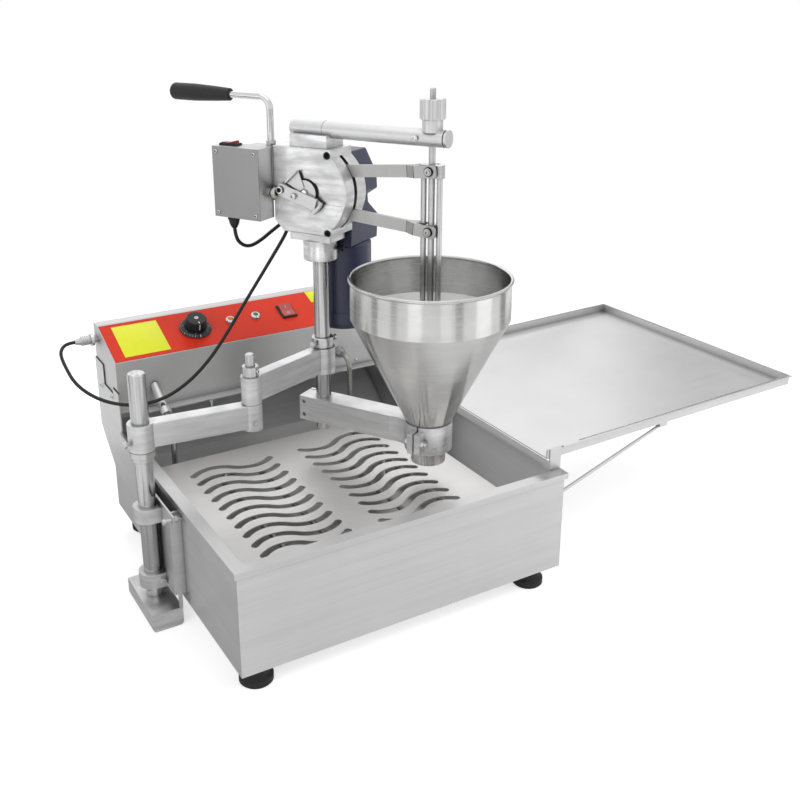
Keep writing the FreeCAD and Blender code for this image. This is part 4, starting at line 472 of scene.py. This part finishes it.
def flat_frame(x, y, z, turn=0.0, lean=0.0):
    """A frame in plain millimetres: turned about Z and then leaning about its own Y."""
    return (Matrix.Translation((x, y, z)) @ Matrix.Rotation(math.radians(turn), 4, "Z")
            @ Matrix.Rotation(math.radians(lean), 4, "Y"))


def bar_at(bm, where, size):
    """A plain block of a size centred on a frame."""
    return bmesh.ops.create_cube(bm, size=1.0, matrix=where @ Matrix.Diagonal((*size, 1)))["verts"]


def block(bm, low, high, bevel):
    """A box between two corners with rounded edges."""
    middle = [(a + b) / 2 for a, b in zip(low, high)]
    verts = bar_at(bm, Matrix.Translation(middle), [b - a for a, b in zip(low, high)])
    edges = list({edge for vert in verts for edge in vert.link_edges})
    bmesh.ops.bevel(bm, geom=edges, offset=bevel, segments=2, profile=0.6, affect="EDGES")


def pan_screw(bm, spot, radius, axis="-Y"):
    """A pan screw whose head stands out along the axis; its cross comes from cross_recess."""
    lathe(bm, [(0, -0.6), (radius, -0.6), (radius, 0.3), (radius * 0.82, radius * 0.45),
               (radius * 0.45, radius * 0.58), (0, radius * 0.6)], spot, axis, 24)


def cross_recess(bm, spot, radius, axis, turn):
    """The cross in a pan screw's head as painted shade: dark bars where its recess holds shade, turned by
    degrees about the screw.
    """
    long, wide, thin, rise = radius * 1.1, radius * 0.26, 0.3, radius * 0.6
    about, size, out = {"-Y": ("Y", (long, thin, wide), (0, -rise, 0)),
                        "-X": ("X", (thin, long, wide), (-rise, 0, 0))}[axis]
    for more in (0, 90):
        stand = Matrix.Rotation(math.radians(turn + more), 4, about)
        bar_at(bm, Matrix.Translation(Vector(spot) + Vector(out)) @ stand, size)


def ring(bm, spot, inner, outer, height, turns=32):
    """A flat washer that stands out to the front."""
    sunk = 0.3
    lathe(bm, [(inner, -sunk), (inner, height), (outer, height), (outer, -sunk), (inner, -sunk)],
          spot, "-Y", turns)


def socket_head(bm, spot, radius, height):
    """A cap screw's head with its hexagon socket, facing the front."""
    lathe(bm, [(radius * 0.5, 0), (radius * 0.5, height), (radius * 0.88, height), (radius, height * 0.8),
               (radius, -0.3), (0, -0.3)], spot, "-Y", 32)
    lathe(bm, [(0, height * 0.35), (radius * 0.56, height * 0.35), (radius * 0.56, height * 0.94)],
          spot, "-Y", 6)


def seam(bm, radius, spot):
    """A thin band of painted shade round an upright hub, for the shade in a seam between two parts."""
    inner, outer, half, edge = radius - 0.3, radius + 0.1, 0.5, 0.3
    lathe(bm, [(inner, -half), (outer, -edge), (outer, edge), (inner, half), (inner, -half)], spot)


def text_mesh(bm, words, where, tall):
    """Flat letters or digits of a height in mm, centred on a frame's origin in its XY plane."""
    data = bpy.data.curves.new("words", "FONT")
    data.body = words
    data.size = tall
    data.extrude = 0.06
    data.align_x, data.align_y = "CENTER", "CENTER"
    carrier = bpy.data.objects.new("words", data)
    mesh = bpy.data.meshes.new_from_object(carrier)
    mesh.transform(where)
    bm.from_mesh(mesh)
    bpy.data.objects.remove(carrier)
    bpy.data.meshes.remove(mesh)


# Operators

class MACHINE_OT_finishes(bpy.types.Operator):
    """Give every solid its material."""

    bl_idname = "machine.finishes"
    bl_label = "Finishes"

    def execute(self, context):
        made = dict(metals(sizes().brush / MM), **plastics_and_paints())
        for name, (colour, settings, texture) in made.items():
            finishes[name] = material(name, colour, settings, texture)
        for finish, names in NODE_FINISH.items():
            for name in names.split():
                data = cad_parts[name].data
                data.materials.clear()
                data.materials.append(finishes[finish])
        # The panel's colour isn't wanted in the hopper's side
        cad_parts["control_panel"].visible_glossy = False
        return {"FINISHED"}


# Labels by name: lower left and upper right corner on the panel
LABELS = {"label_left": ((19, 8.8), (94, 85.3)), "label_right": ((370, 62), (410, 92))}
LABEL_THICK = 0.3


class MACHINE_OT_panel(bpy.types.Operator):
    """Lay the labels on the sloped control panel."""

    bl_idname = "machine.panel"
    bl_label = "Panel labels"

    def execute(self, context):
        for name, (low, high) in LABELS.items():
            bm = bmesh.new()
            block(bm, (*low, 0), (*high, LABEL_THICK), 0.1)
            label = piece(name, bm, panel, "label_film", "machine")
            label.visible_glossy = False
        return {"FINISHED"}


# The dial's skirt: a flat ring round the knob, then a slope to a thin edge
SKIRT_FLAT, SKIRT_EDGE, KNOB_SIDE = 23.1, 26.25, 18.2
SKIRT_TOP, SKIRT_FOOT, SKIRT_THICK = 5.25, 1.05, 0.35


def dial_scale(bm):
    """The numbers on the skirt's flat ring, the lines on its slope and the knob's pointer."""
    first_angle, line_step, lines, lines_per_number = 250, 11, 25, 4
    number_radius, number_tall, line_radius, line_height = 20.8, 2.6, 24.8, 3.1
    slope = angle_of(SKIRT_TOP - SKIRT_FOOT, SKIRT_EDGE - SKIRT_FLAT)
    tick = sizes().tick / MM
    for number, degrees in enumerate("0 50 100 150 200 250 300".split()):
        turn = first_angle - line_step * lines_per_number * number
        spot = Vector((number_radius, 0, SKIRT_TOP + 0.05))
        spot.rotate(Matrix.Rotation(math.radians(turn), 3, "Z"))
        text_mesh(bm, degrees, flat_frame(*spot, turn - 90), number_tall)
    for number in range(lines):
        turn = math.radians(first_angle - line_step * number)
        spot = (line_radius * math.cos(turn), line_radius * math.sin(turn), line_height)
        stretch, wide = (1.5, 0.7) if number % lines_per_number == 0 else (1.0, 0.4)
        bar_at(bm, flat_frame(*spot, math.degrees(turn), slope), (tick * stretch, wide, 0.3))
    # The pointer runs down the slope, up the knob's side and over its top
    bar_at(bm, flat_frame(0, -24.7, 3.2, -90, slope), (4.4, 1.1, 0.4))
    bar_at(bm, flat_frame(0, -17.75, 15.5, -90, -3), (0.5, 1.3, 10))
    bar_at(bm, flat_frame(0, -12.8, KNOB_HEIGHT + 0.05, -90), (5.5, 1.3, 0.3))


def switch_marks(bm, reach):
    """The I and the O on the two slopes of a rocker that reaches so far from its pivot."""
    run, rise, waist, share = reach - 1, 1.8, 2.6, 0.56
    middle, height, slope = run * share, waist + rise * share + 0.05, math.atan2(rise, run)
    up = Matrix.Translation((0, middle, height)) @ Matrix.Rotation(slope, 4, "X")
    down = Matrix.Translation((0, -middle, height)) @ Matrix.Rotation(-slope, 4, "X")
    bar_at(bm, up, (0.8, 4.2, 0.2))
    radius = 1.9
    for turn in circle(20):
        bar_at(bm, down @ flat_frame(radius * math.cos(turn), radius * math.sin(turn), 0, math.degrees(turn)),
               (0.7, 0.68, 0.2))


class MACHINE_OT_dial(bpy.types.Operator):
    """Print the thermostat's scale, pointer and cap, the lamps' inner rings and the switch marks."""

    bl_idname = "machine.dial"
    bl_label = "Dial and lamp marks"

    def execute(self, context):
        # The skirt's printed shell
        under = SKIRT_TOP - SKIRT_THICK
        bm = bmesh.new()
        lathe(bm, [(KNOB_SIDE, under), (KNOB_SIDE, SKIRT_TOP), (SKIRT_FLAT, SKIRT_TOP),
                   (SKIRT_EDGE, SKIRT_FOOT), (SKIRT_EDGE, SKIRT_FOOT - SKIRT_THICK),
                   (SKIRT_FLAT - 0.2, under), (KNOB_SIDE, under)])
        piece("dial_skirt", bm, dial, "dial_skirt", "thermostat")
        bm = bmesh.new()
        dial_scale(bm)
        piece("dial_marks", bm, dial, "dial_print", "thermostat")
        # A turned cap in the knob's top, with a shallow dish
        cap, dish = 3.6, 1.4
        bm = bmesh.new()
        lathe(bm, [(0, 21.8), (cap, 21.8), (cap, 22.4), (cap - 0.4, 22.7), (dish + 0.4, 22.7), (dish, 22.1),
                   (0, 22.1)])
        piece("dial_cap", bm, dial, "turned_steel", "thermostat")
        # A pale gasket between each lamp's ring and its lens
        inner, outer = 4.6, 6.2
        bm = bmesh.new()
        for x in LAMPS_X:
            lathe(bm, [(inner, 2.6), (inner, 3.9), (5.2, 4.15), (outer, 4.05), (outer, 3.1), (inner, 2.6)],
                  (x, LAMP_UP, 0))
        piece("lamp_gaskets", bm, panel, "dial_print", "machine")
        for name, where, reach, slot in (("power", power_switch, 14, "rocker_red"),
                                         ("drive", drive_switch, 12.5, "rocker_drive")):
            bm = bmesh.new()
            switch_marks(bm, reach)
            piece(name + "_marks", bm, where, "switch_mark", name + "_rocker")
        return {"FINISHED"}


# The upper and lower of the head's front screws, as (u, z)
HEAD_SCREWS = ((32, 634), (31, 522.5))
COVER_SCREW_INSET = 7


def cover_screws():
    """The four screws of the switch box's cover, each with its cross turned its own way."""
    radius = sizes().cover_screw / MM / 2
    screws, crosses = bmesh.new(), bmesh.new()
    spots = [(u, DRIVE_FRONT, z) for u in (DRIVE_LEFT + COVER_SCREW_INSET, DRIVE_RIGHT - COVER_SCREW_INSET)
             for z in (DRIVE_BOTTOM + COVER_SCREW_INSET, DRIVE_TOP - COVER_SCREW_INSET)]
    for number, spot in enumerate(spots):
        pan_screw(screws, spot, radius)
        cross_recess(crosses, spot, radius, "-Y", 20 + 33 * number)
    piece("cover_screws", screws, head, "chrome", "head")
    # The crosses are painted shade: dark bars standing for the shade in the recesses
    piece("cover_screw_crosses", crosses, head, "shadow_gap", "head")


def beam_details():
    """Bright rings round the head's front screws, the beam's clamp screw and the seam of its sleeve."""
    bore, rim = 5.6, 6.7
    bm = bmesh.new()
    for u, z in HEAD_SCREWS:
        lathe(bm, [(bore, 0), (bore, 0.35), (rim, 0.15), (rim, -0.2), (bore, 0)],
              (u, HEAD_FRONT, z), "-Y", 40)
    socket_head(bm, (HOPPER_U - BEAM_SCREW_BACK, -13.6, BEAM_Z), 4.6, 1.4)
    piece("bright_rings", bm, head, "chrome", "head")
    inner, outer, seam_u = BEAM_RADIUS + 0.02, BEAM_RADIUS + 0.35, 12.5
    bm = bmesh.new()
    lathe(bm, [(inner, 0), (outer, 0.25), (outer, 1.3), (inner, 1.6), (inner, 0)],
          (seam_u, 0, BEAM_Z), "X", 64)
    piece("beam_seam", bm, head, "turned_steel", "head")


def fork_details():
    """A washer and a bolt on each crosshead's pin, and painted shade along the fold lines of the levers."""
    bolt = sizes().fork_bolt / MM / 2
    for name, z, washer_slot in (("piston", UPPER_PIN_Z, "piston_metal"),
                                 ("plunger", LOWER_PIN_Z, "screw_dark")):
        bm = bmesh.new()
        ring(bm, (0, -11.2, z), 4.0, 6.6, 0.8)
        piece(name + "_washer", bm, hopper, "black_oxide", name)
        bm = bmesh.new()
        socket_head(bm, (0, -13.5, z), bolt, 2.2)
        piece(name + "_bolt", bm, hopper, "turned_steel", name)
    # Painted shade: thin dark strips where the levers' folds turn away from the light
    near_fold, far_fold = 37, 23
    for name, where, rise in (("upper_lever", upper_lever, upper_rise),
                              ("lower_lever", lower_lever, lower_rise)):
        pin = math.hypot(rise, lever_run)
        bm = bmesh.new()
        for x, y in ((pin - near_fold, -LEVER_THICK / 2), (pin - far_fold, -10.5)):
            bar_at(bm, flat_frame(x, y, 0), (0.7, 0.3, 16.4))
        piece(name + "_folds", bm, where, "shadow_gap", name)


def trip_details():
    """Screws and washer of the trip bar, in the shaft's own frame, and painted shade in the gap round the
    shaft.
    """
    far, near, face, drop = -38, -13, -39.5, -9
    bm = bmesh.new()
    ring(bm, (far, face, drop), 3.1, 5.3, 0.5)
    socket_head(bm, (near, face, drop), 4.0, 1.6)
    lathe(bm, [(0, -0.3), (5.0, -0.3), (5.0, 3), (4.2, 3.6), (0, 3.6)], (0, -31.5, 0), "-Y", 6)
    piece("trip_fasteners", bm, trip, "chrome", "cam_shaft")
    bm = bmesh.new()
    socket_head(bm, (far, face - 0.1, drop), 3.4, 1.5)
    piece("trip_black_screw", bm, trip, "black_oxide", "cam_shaft")
    # Painted shade: a dark ring for the shade in the gap round the shaft
    bm = bmesh.new()
    ring(bm, (0, HEAD_FRONT, 0), 18.2, 20.2, 0.35, turns=48)
    piece("shaft_gap", bm, trip, "shadow_gap", "cam_shaft")


class MACHINE_OT_head_fasteners(bpy.types.Operator):
    """Fit screws, washers, rings and painted shade in fold lines and gaps to the head, its beam and its
    levers.
    """

    bl_idname = "machine.head_fasteners"
    bl_label = "Head fasteners"

    def execute(self, context):
        cover_screws()
        beam_details()
        fork_details()
        trip_details()
        bore, waist, belly = 4.1, 7.2, 8.2
        bm = bmesh.new()
        lathe(bm, [(bore, 6.2), (waist, 6.2), (belly, 7.4), (belly, 10.4), (waist, 11.6), (bore, 11.6),
                   (bore, 6.2)], (DRIVE_RIGHT, SENSOR_Y, SENSOR_Z), "X", 8)
        piece("sensor_nut", bm, head, "cream_plastic", "head")
        radius, level = 8.9, DRIVE_BOTTOM - 3
        bm = bmesh.new()
        for turn in circle(14):
            bar_at(bm, flat_frame(GLAND_U + radius * math.cos(turn), GLAND_Y + radius * math.sin(turn), level,
                                  math.degrees(turn)), (0.9, 1.5, 5))
        piece("gland_ribs", bm, head, "black_moulded", "head")
        return {"FINISHED"}


# Upper edge of the tank's ears, from front to rear, as (y, z)
EAR_EDGE = ((467, 254.5), (496, 254.5), (496, 244.5), (545, 244.5), (545, 278.5), (587, 278.5))
EAR_SCREWS = ((559, 237.5), (502, 238.4))
EAR_FACE = 4


def ear_details():
    """Screws of the left ear and of the box's front, and painted shade along the joint between box and ears.
    """
    radius = sizes().ear_screw / MM / 2
    screws, crosses = bmesh.new(), bmesh.new()
    for y, z in EAR_SCREWS:
        pan_screw(screws, (EAR_FACE, y, z), radius, "-X")
        cross_recess(crosses, (EAR_FACE, y, z), radius, "-X", 30)
    pan_screw(screws, (432.7, BOX_FRONT, 225.7), radius * 0.7)
    piece("ear_screws", screws, machine, "chrome", "machine")
    # The crosses are painted shade: dark bars standing for the shade in the recesses
    piece("ear_screw_crosses", crosses, machine, "shadow_gap", "machine")
    # Painted shade: dark strips along the ears' upper edges, where the joint between box and ear holds shade
    bm = bmesh.new()
    for side in (BOX_LEFT - 0.4, BOX_LEFT + BOX_LENGTH + 0.4):
        for (y, z), (far_y, far_z) in zip(EAR_EDGE, EAR_EDGE[1:]):
            run = Vector((0, far_y - y, far_z - z))
            tilt = Matrix.Rotation(math.atan2(run.z, run.y), 4, "X")
            middle = Matrix.Translation((side, (y + far_y) / 2, (z + far_z) / 2))
            bar_at(bm, middle @ tilt, (1.0, run.length + 1.0, 1.4))
    piece("ear_joints", bm, machine, "shadow_gap", "machine")


class MACHINE_OT_tank_fasteners(bpy.types.Operator):
    """Fit the screws of the tank's ears, painted shade in the arm's seams, the plug's rings, the probe and
    the tray's hem.
    """

    bl_idname = "machine.tank_fasteners"
    bl_label = "Tank fasteners"

    def execute(self, context):
        ear_details()
        # Painted shade: thin dark bands in the seams where the hubs meet
        bm = bmesh.new()
        seam(bm, HUB_RADIUS, (0, 0, ARM_LEVEL + 0.2))
        piece("post_hub_seam", bm, post, "shadow_gap", "machine")
        bm = bmesh.new()
        seam(bm, ELBOW_RADIUS, (ARM_1_LENGTH, 0, ARM_LEVEL + HUB_HEIGHT))
        piece("elbow_seam", bm, arm_1, "shadow_gap", "arm_1")
        elbow_screw = arm_1 @ place(ARM_1_LENGTH, 0, 345.5, 45)
        bm = bmesh.new()
        socket_head(bm, (0, 0.2 - ELBOW_COLLAR, 0), 3.2, 1.8)
        piece("elbow_screw", bm, elbow_screw, "chrome", "arm_1")
        plug, rib = 6.5, 8.2
        bm = bmesh.new()
        for x in (-20, -17, -14, -11):
            lathe(bm, [(plug, 0), (rib, 0.5), (rib, 1.5), (plug, 2), (plug, 0)],
                  (x, SOCKET_Y, SOCKET_Z), "X", 32)
        piece("plug_rings", bm, machine, "chrome", "machine")
        probe, probe_low, probe_high = 3, -38, 20
        bm = bmesh.new()
        lathe(bm, [(0, probe_low), (probe - 0.6, probe_low), (probe, probe_low + 1), (probe, probe_high),
                   (0, probe_high)], (148, 446, 200), "Z", 24)
        piece("thermostat_probe", bm, machine, "turned_steel", "machine")
        # Rolled hem on the tray's three outer walls
        start, end, low, high, wide = 60, 515, 14.2, 15.8, 1.6
        near, far = 0.2, TRAY_DEPTH - 0.2
        bm = bmesh.new()
        block(bm, (start, near, low), (end, near + wide, high), 0.5)
        block(bm, (end, near, low), (end + 1.8, far, high), 0.5)
        block(bm, (start, far - wide, low), (end, far, high), 0.5)
        piece("tray_hem", bm, tray, "ground_bar", "tray")
        return {"FINISHED"}


# The long cable's route in the machine's frame, and the points whose next stretch passes a joint
CABLE_ROUTE = ((-30, 572, 314), (-41, 572, 314), (-51, 567, 311), (-58, 556, 305), (-58, 536, 293),
               (-52, 498, 270), (-24, 468, 249), (17, 446, 239), (63, 433, 244), (105, 426, 267),
               (142, 425, 299), (173, 426, 336), (202, 428, 375), (231, 428, 414), (258, 424, 454),
               (283, 418, 494), (294, 421.2, 531.6), (303.2, 414.1, 545.2), (312.3, 402.8, 552),
               (320.3, 388.9, 552))
CABLE_JOINTS = (7, 10)
# The short cable's route in the head's frame
SHORT_ROUTE = ((-121, -46, 518), (-120.5, -45, 502), (-118, -34, 489), (-115, -18, 483.5),
               (-109, 0, 489), (-101, 20, 501), (-90, 38, 514), (-75, 48.5, 524), (-58, 50, 525))


def route_line(route, where):
    """Points of the smooth line that has the route as its control points."""
    data = bpy.data.curves.new("route", "CURVE")
    data.dimensions = "3D"
    data.resolution_u = 24
    spline = data.splines.new("NURBS")
    spline.points.add(len(route) - 1)
    for point, spot in zip(spline.points, route):
        point.co = (*(where @ (Vector(spot) * MM)), 1.0)
    spline.order_u = 3
    spline.use_endpoint_u = True
    carrier = put("route", data)
    mesh = bpy.data.meshes.new_from_object(carrier)
    line = [vert.co.copy() for vert in mesh.vertices]
    bpy.data.objects.remove(carrier)
    bpy.data.meshes.remove(mesh)
    return line


def cable_mesh(name, line, radius):
    """A round tube along a line, with flat ends."""
    turns = 16
    bm = bmesh.new()
    rings = []
    normal = None
    for number, point in enumerate(line):
        before, after = line[max(number - 1, 0)], line[min(number + 1, len(line) - 1)]
        along = (after - before).normalized()
        if normal is None:
            normal = along.orthogonal().normalized()
        normal = (normal - along * normal.dot(along)).normalized()
        side = along.cross(normal)
        rings.append([bm.verts.new(point + (normal * math.cos(a) + side * math.sin(a)) * radius)
                      for a in circle(turns)])
    for low, high in zip(rings, rings[1:]):
        for k in range(turns):
            bm.faces.new((low[k], low[(k + 1) % turns], high[(k + 1) % turns], high[k]))
    bm.faces.new(rings[0][::-1])
    bm.faces.new(rings[-1])
    mesh = bpy.data.meshes.new(name)
    bm.to_mesh(mesh)
    bm.free()
    mesh.shade_smooth()
    mesh.set_sharp_from_angle(angle=math.radians(60))
    mesh.materials.append(finishes["cable_skin"])
    return put(name, mesh)


class MACHINE_OT_cables(bpy.types.Operator):
    """Run the long cable over the arm's joints and the short one under the switch box."""

    bl_idname = "machine.cables"
    bl_label = "Cables"

    def execute(self, context):
        line = route_line(CABLE_ROUTE, machine)
        cuts = [0]
        for first in CABLE_JOINTS:
            middle = machine @ ((Vector(CABLE_ROUTE[first]) + Vector(CABLE_ROUTE[first + 1])) * 0.5 * MM)
            cuts.append(min(range(len(line)), key=lambda k: (line[k] - middle).length))
        cuts.append(len(line) - 1)
        bends = (("machine", "arm_1"), ("arm_1", "arm_2"), ("arm_2", "head"))
        for number, (parent, child) in enumerate(bends):
            stretch = line[cuts[number]:cuts[number + 1] + 1]
            tube = cable_mesh("cable_%d" % (number + 1), stretch, sizes().cable / 2)
            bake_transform(tube)
            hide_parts("cable_long_%d" % (number + 1))
        line = route_line(SHORT_ROUTE, head)
        tube = cable_mesh("cable_4", line, sizes().cable / 2)
        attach(tube, "head")
        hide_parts("cable_short")
        return {"FINISHED"}


def card(name, centre, aim, size, strength):
    """A studio card that only shiny surfaces see."""
    mesh = bpy.data.meshes.new(name)
    wide, tall = size[0] / 2, size[1] / 2
    mesh.from_pydata([(-wide, -tall, 0), (wide, -tall, 0), (wide, tall, 0), (-wide, tall, 0)],
                     [], [(0, 1, 2, 3)])
    made = put(name, mesh)
    made.location = centre
    made.rotation_euler = (Vector(aim) - Vector(centre)).to_track_quat("Z", "Y").to_euler()
    surface = bpy.data.materials.new(name)
    tree = cleared(surface)
    glow = add(tree, "ShaderNodeEmission", {"Color": (strength, strength, strength, 1), "Strength": 1.0})
    add(tree, "ShaderNodeOutputMaterial", {}, {"Surface": (glow, "Emission")})
    mesh.materials.append(surface)
    made.visible_camera = False
    made.visible_diffuse = False
    made.visible_shadow = False


def softbox(name, centre, aim, size, power):
    """A large soft lamp."""
    data = bpy.data.lights.new(name, "AREA")
    data.shape = "RECTANGLE"
    data.size, data.size_y = size
    data.energy = power
    made = put(name, data)
    made.location = centre
    made.rotation_euler = (Vector(centre) - Vector(aim)).to_track_quat("Z", "Y").to_euler()
    made.visible_glossy = False


def rays(tree):
    """The light path node, and a node that is 1 for what is seen directly or through something clear."""
    ray = add(tree, "ShaderNodeLightPath")
    clear = add(tree, "ShaderNodeMath", {"operation": "ADD", "use_clamp": True},
                {0: (ray, "Is Camera Ray"), 1: (ray, "Is Transmission Ray")})
    return ray, clear


# The world is white where it is seen; reflections and all other light find it dimmer
WORLD_MIRRORED, WORLD_LIGHT = 0.75, 0.5


def make_world(scene):
    world = bpy.data.worlds.new("studio")
    scene.world = world
    tree = cleared(world)
    ray, clear = rays(tree)
    unseen = ramp(tree, ray, "Is Glossy Ray", WORLD_LIGHT, WORLD_MIRRORED, 0.0, 1.0)
    level = add(tree, "ShaderNodeMath", {"operation": "MAXIMUM"}, {0: (clear, 0), 1: (unseen, 0)})
    sky = add(tree, "ShaderNodeBackground", {"Color": (1, 1, 1, 1)}, {"Strength": (level, 0)})
    add(tree, "ShaderNodeOutputWorld", {}, {"Surface": (sky, "Background")})


# White paper: its own grey carries the shadow, and a glow lifts what is seen of it to white.
# Past a distance from the machine, in metres, it fades into the background.
PAPER_GREY, PAPER_SEEN, PAPER_MIRRORED = 0.62, 0.62, 0.2
FADE_START, FADE_END, FLOOR_REACH = 1.0, 1.7, 9.0


def make_floor():
    mesh = bpy.data.meshes.new("floor")
    reach = FLOOR_REACH
    mesh.from_pydata([(-reach, -reach, 0), (reach, -reach, 0), (reach, reach, 0), (-reach, reach, 0)],
                     [], [(0, 1, 2, 3)])
    floor = put("floor", mesh)
    surface = bpy.data.materials.new("floor_paper")
    tree = cleared(surface)
    ray, clear = rays(tree)
    paper = add(tree, "ShaderNodeBsdfDiffuse", {"Color": (PAPER_GREY, PAPER_GREY, PAPER_GREY, 1)})
    mirrored = ramp(tree, ray, "Is Glossy Ray", 0.0, PAPER_MIRRORED, 0.0, 1.0)
    seen = ramp(tree, clear, 0, 0.0, PAPER_SEEN, 0.0, 1.0)
    lift = add(tree, "ShaderNodeMath", {"operation": "MAXIMUM"}, {0: (seen, 0), 1: (mirrored, 0)})
    white = add(tree, "ShaderNodeEmission", {"Color": (1, 1, 1, 1)}, {"Strength": (lift, 0)})
    lit_paper = add(tree, "ShaderNodeAddShader", {}, {0: (paper, 0), 1: (white, 0)})
    where = add(tree, "ShaderNodeTexCoord")
    away = add(tree, "ShaderNodeVectorMath", {"operation": "LENGTH"}, {0: (where, "Object")})
    fade = ramp(tree, away, "Value", 0.0, 1.0, FADE_START, FADE_END)
    faded = add(tree, "ShaderNodeMath", {"operation": "MULTIPLY"}, {0: (fade, 0), 1: (clear, 0)})
    sweep = add(tree, "ShaderNodeEmission", {"Color": (1, 1, 1, 1), "Strength": 1.0})
    both = add(tree, "ShaderNodeMixShader", {}, {0: (faded, 0), 1: (lit_paper, 0), 2: (sweep, 0)})
    add(tree, "ShaderNodeOutputMaterial", {}, {"Surface": (both, 0)})
    mesh.materials.append(surface)


# Lamps: place and aim in metres, size and watts
LAMPS = (
    ("key", (1.0, -1.9, 2.3), (0, 0, 0.3), (1.6, 1.2), 36),
    ("fill", (-1.9, -1.0, 1.8), (0, 0, 0.3), (1.4, 1.4), 18),
    ("rim", (0.6, 2.0, 2.0), (0, 0, 0.3), (2.2, 1.2), 32),
)
# Cards: place and aim in metres, size and level
CARDS = (
    ("bright_above", (-0.3, -0.2, 2.6), (0, 0, 0.3), (2.4, 2.4), 1.2),
    ("bright_back", (0.5, 2.3, 1.75), (0.1, 0, 0.2), (4.0, 2.4), 1.2),
    ("bright_left", (-2.4, 0.1, 0.45), (0, 0.1, 0.45), (1.2, 0.9), 1.15),
    ("dim_left_floor", (-0.64, 0.06, 0.004), (-0.64, 0.06, 1.0), (0.34, 0.9), 0.4),
    # Light that the oil tank's polished floor throws on its right wall
    ("tank_bounce", (-0.046, -0.1, 0.1), (1.0, -0.1, 0.1), (0.36, 0.11), 0.42),
    ("dim_right", (3.9, 2.0, 1.3), (0.4, 0, 0.2), (2.2, 2.2), 0.4),
)
# A ring of upright cards, whose reflections are the bands down the hopper and the bars:
# direction from the hopper's axis and width in degrees, and level
RING_CARDS = ((157, 11, 0.25), (188, 9, 0.4), (217, 18, 1.35), (258, 14, 1.1), (276, 11, 0.32),
              (314, 26, 1.45), (353, 13, 0.3), (14, 14, 1.0), (57, 34, 0.06))
RING_REACH, RING_TALL = 1.25, 0.48


def make_lights():
    for lamp in LAMPS:
        softbox(*lamp)
    for name, centre, aim, size, level in CARDS:
        card(name, centre, aim, size, level)
    middle = Vector((hopper.translation.x, hopper.translation.y, RING_TALL / 2))
    for number, (angle, width, level) in enumerate(RING_CARDS, 1):
        turn = math.radians(angle)
        wide = 2 * RING_REACH * math.tan(math.radians(width / 2))
        out = Vector((math.cos(turn), math.sin(turn), 0)) * RING_REACH
        card("ring_card_%d" % number, middle + out, middle, (wide, RING_TALL), level)


# The camera as solved from the photo: its place in the machine's frame in millimetres, its turns
# about X, Y and Z in degrees, and its focal length and optical centre in pixels of the photo
CAMERA_PLACE = (-384.49, -1006.05, 875.45)
CAMERA_TURNS = (70.95844, 0.20119, -30.22409)
PHOTO_PIXELS, FOCAL_PIXELS, CENTRE_PIXEL = 800, 1020.07, (376.83, 324.24)
SENSOR_WIDTH = 36.0


def make_camera(scene):
    data = bpy.data.cameras.new("photo_view")
    data.sensor_width = SENSOR_WIDTH
    data.sensor_fit = "HORIZONTAL"
    data.lens = FOCAL_PIXELS / PHOTO_PIXELS * SENSOR_WIDTH
    data.shift_x = (PHOTO_PIXELS / 2 - CENTRE_PIXEL[0]) / PHOTO_PIXELS
    data.shift_y = (CENTRE_PIXEL[1] - PHOTO_PIXELS / 2) / PHOTO_PIXELS
    data.clip_end = 50
    camera = put("photo_view", data)
    turned = Euler([math.radians(turn) for turn in CAMERA_TURNS]).to_matrix().to_4x4()
    camera.matrix_world = machine @ Matrix.Translation(Vector(CAMERA_PLACE) * MM) @ turned
    scene.camera = camera


class MACHINE_OT_stage(bpy.types.Operator):
    """Set the pale floor, the soft lamps, the reflection cards and the camera."""

    bl_idname = "machine.stage"
    bl_label = "Stage"

    def execute(self, context):
        context.scene.view_settings.view_transform = "Standard"
        make_world(context.scene)
        make_floor()
        make_lights()
        make_camera(context.scene)
        return {"FINISHED"}


class MACHINE_PT_tools(bpy.types.Panel):
    """The machine's operators and settings."""

    bl_label = "Donut Machine"
    bl_idname = "MACHINE_PT_tools"
    bl_space_type = "VIEW_3D"
    bl_region_type = "UI"
    bl_category = "Machine"

    def draw(self, context):
        for step in STEPS:
            self.layout.operator("machine." + step)
        for group in (context.scene.machine_sizes, context.scene.machine_colours):
            for name in group.bl_rna.properties.keys():
                if name not in ("rna_type", "name"):
                    self.layout.prop(group, name)


STEPS = ("stage", "finishes", "cables", "panel", "dial", "head_fasteners", "tank_fasteners")
CLASSES = (MachineSizes, MachineColours, MACHINE_OT_stage, MACHINE_OT_finishes, MACHINE_OT_cables,
           MACHINE_OT_panel, MACHINE_OT_dial, MACHINE_OT_head_fasteners, MACHINE_OT_tank_fasteners,
           MACHINE_PT_tools)


def register():
    for item in CLASSES:
        bpy.utils.register_class(item)
    bpy.types.Scene.machine_sizes = PointerProperty(type=MachineSizes)
    bpy.types.Scene.machine_colours = PointerProperty(type=MachineColours)


def unregister():
    del bpy.types.Scene.machine_colours
    del bpy.types.Scene.machine_sizes
    for item in reversed(CLASSES):
        bpy.utils.unregister_class(item)


def main():
    register()
    for step in STEPS:
        getattr(bpy.ops.machine, step)()


if __name__ == "__main__":
    main()
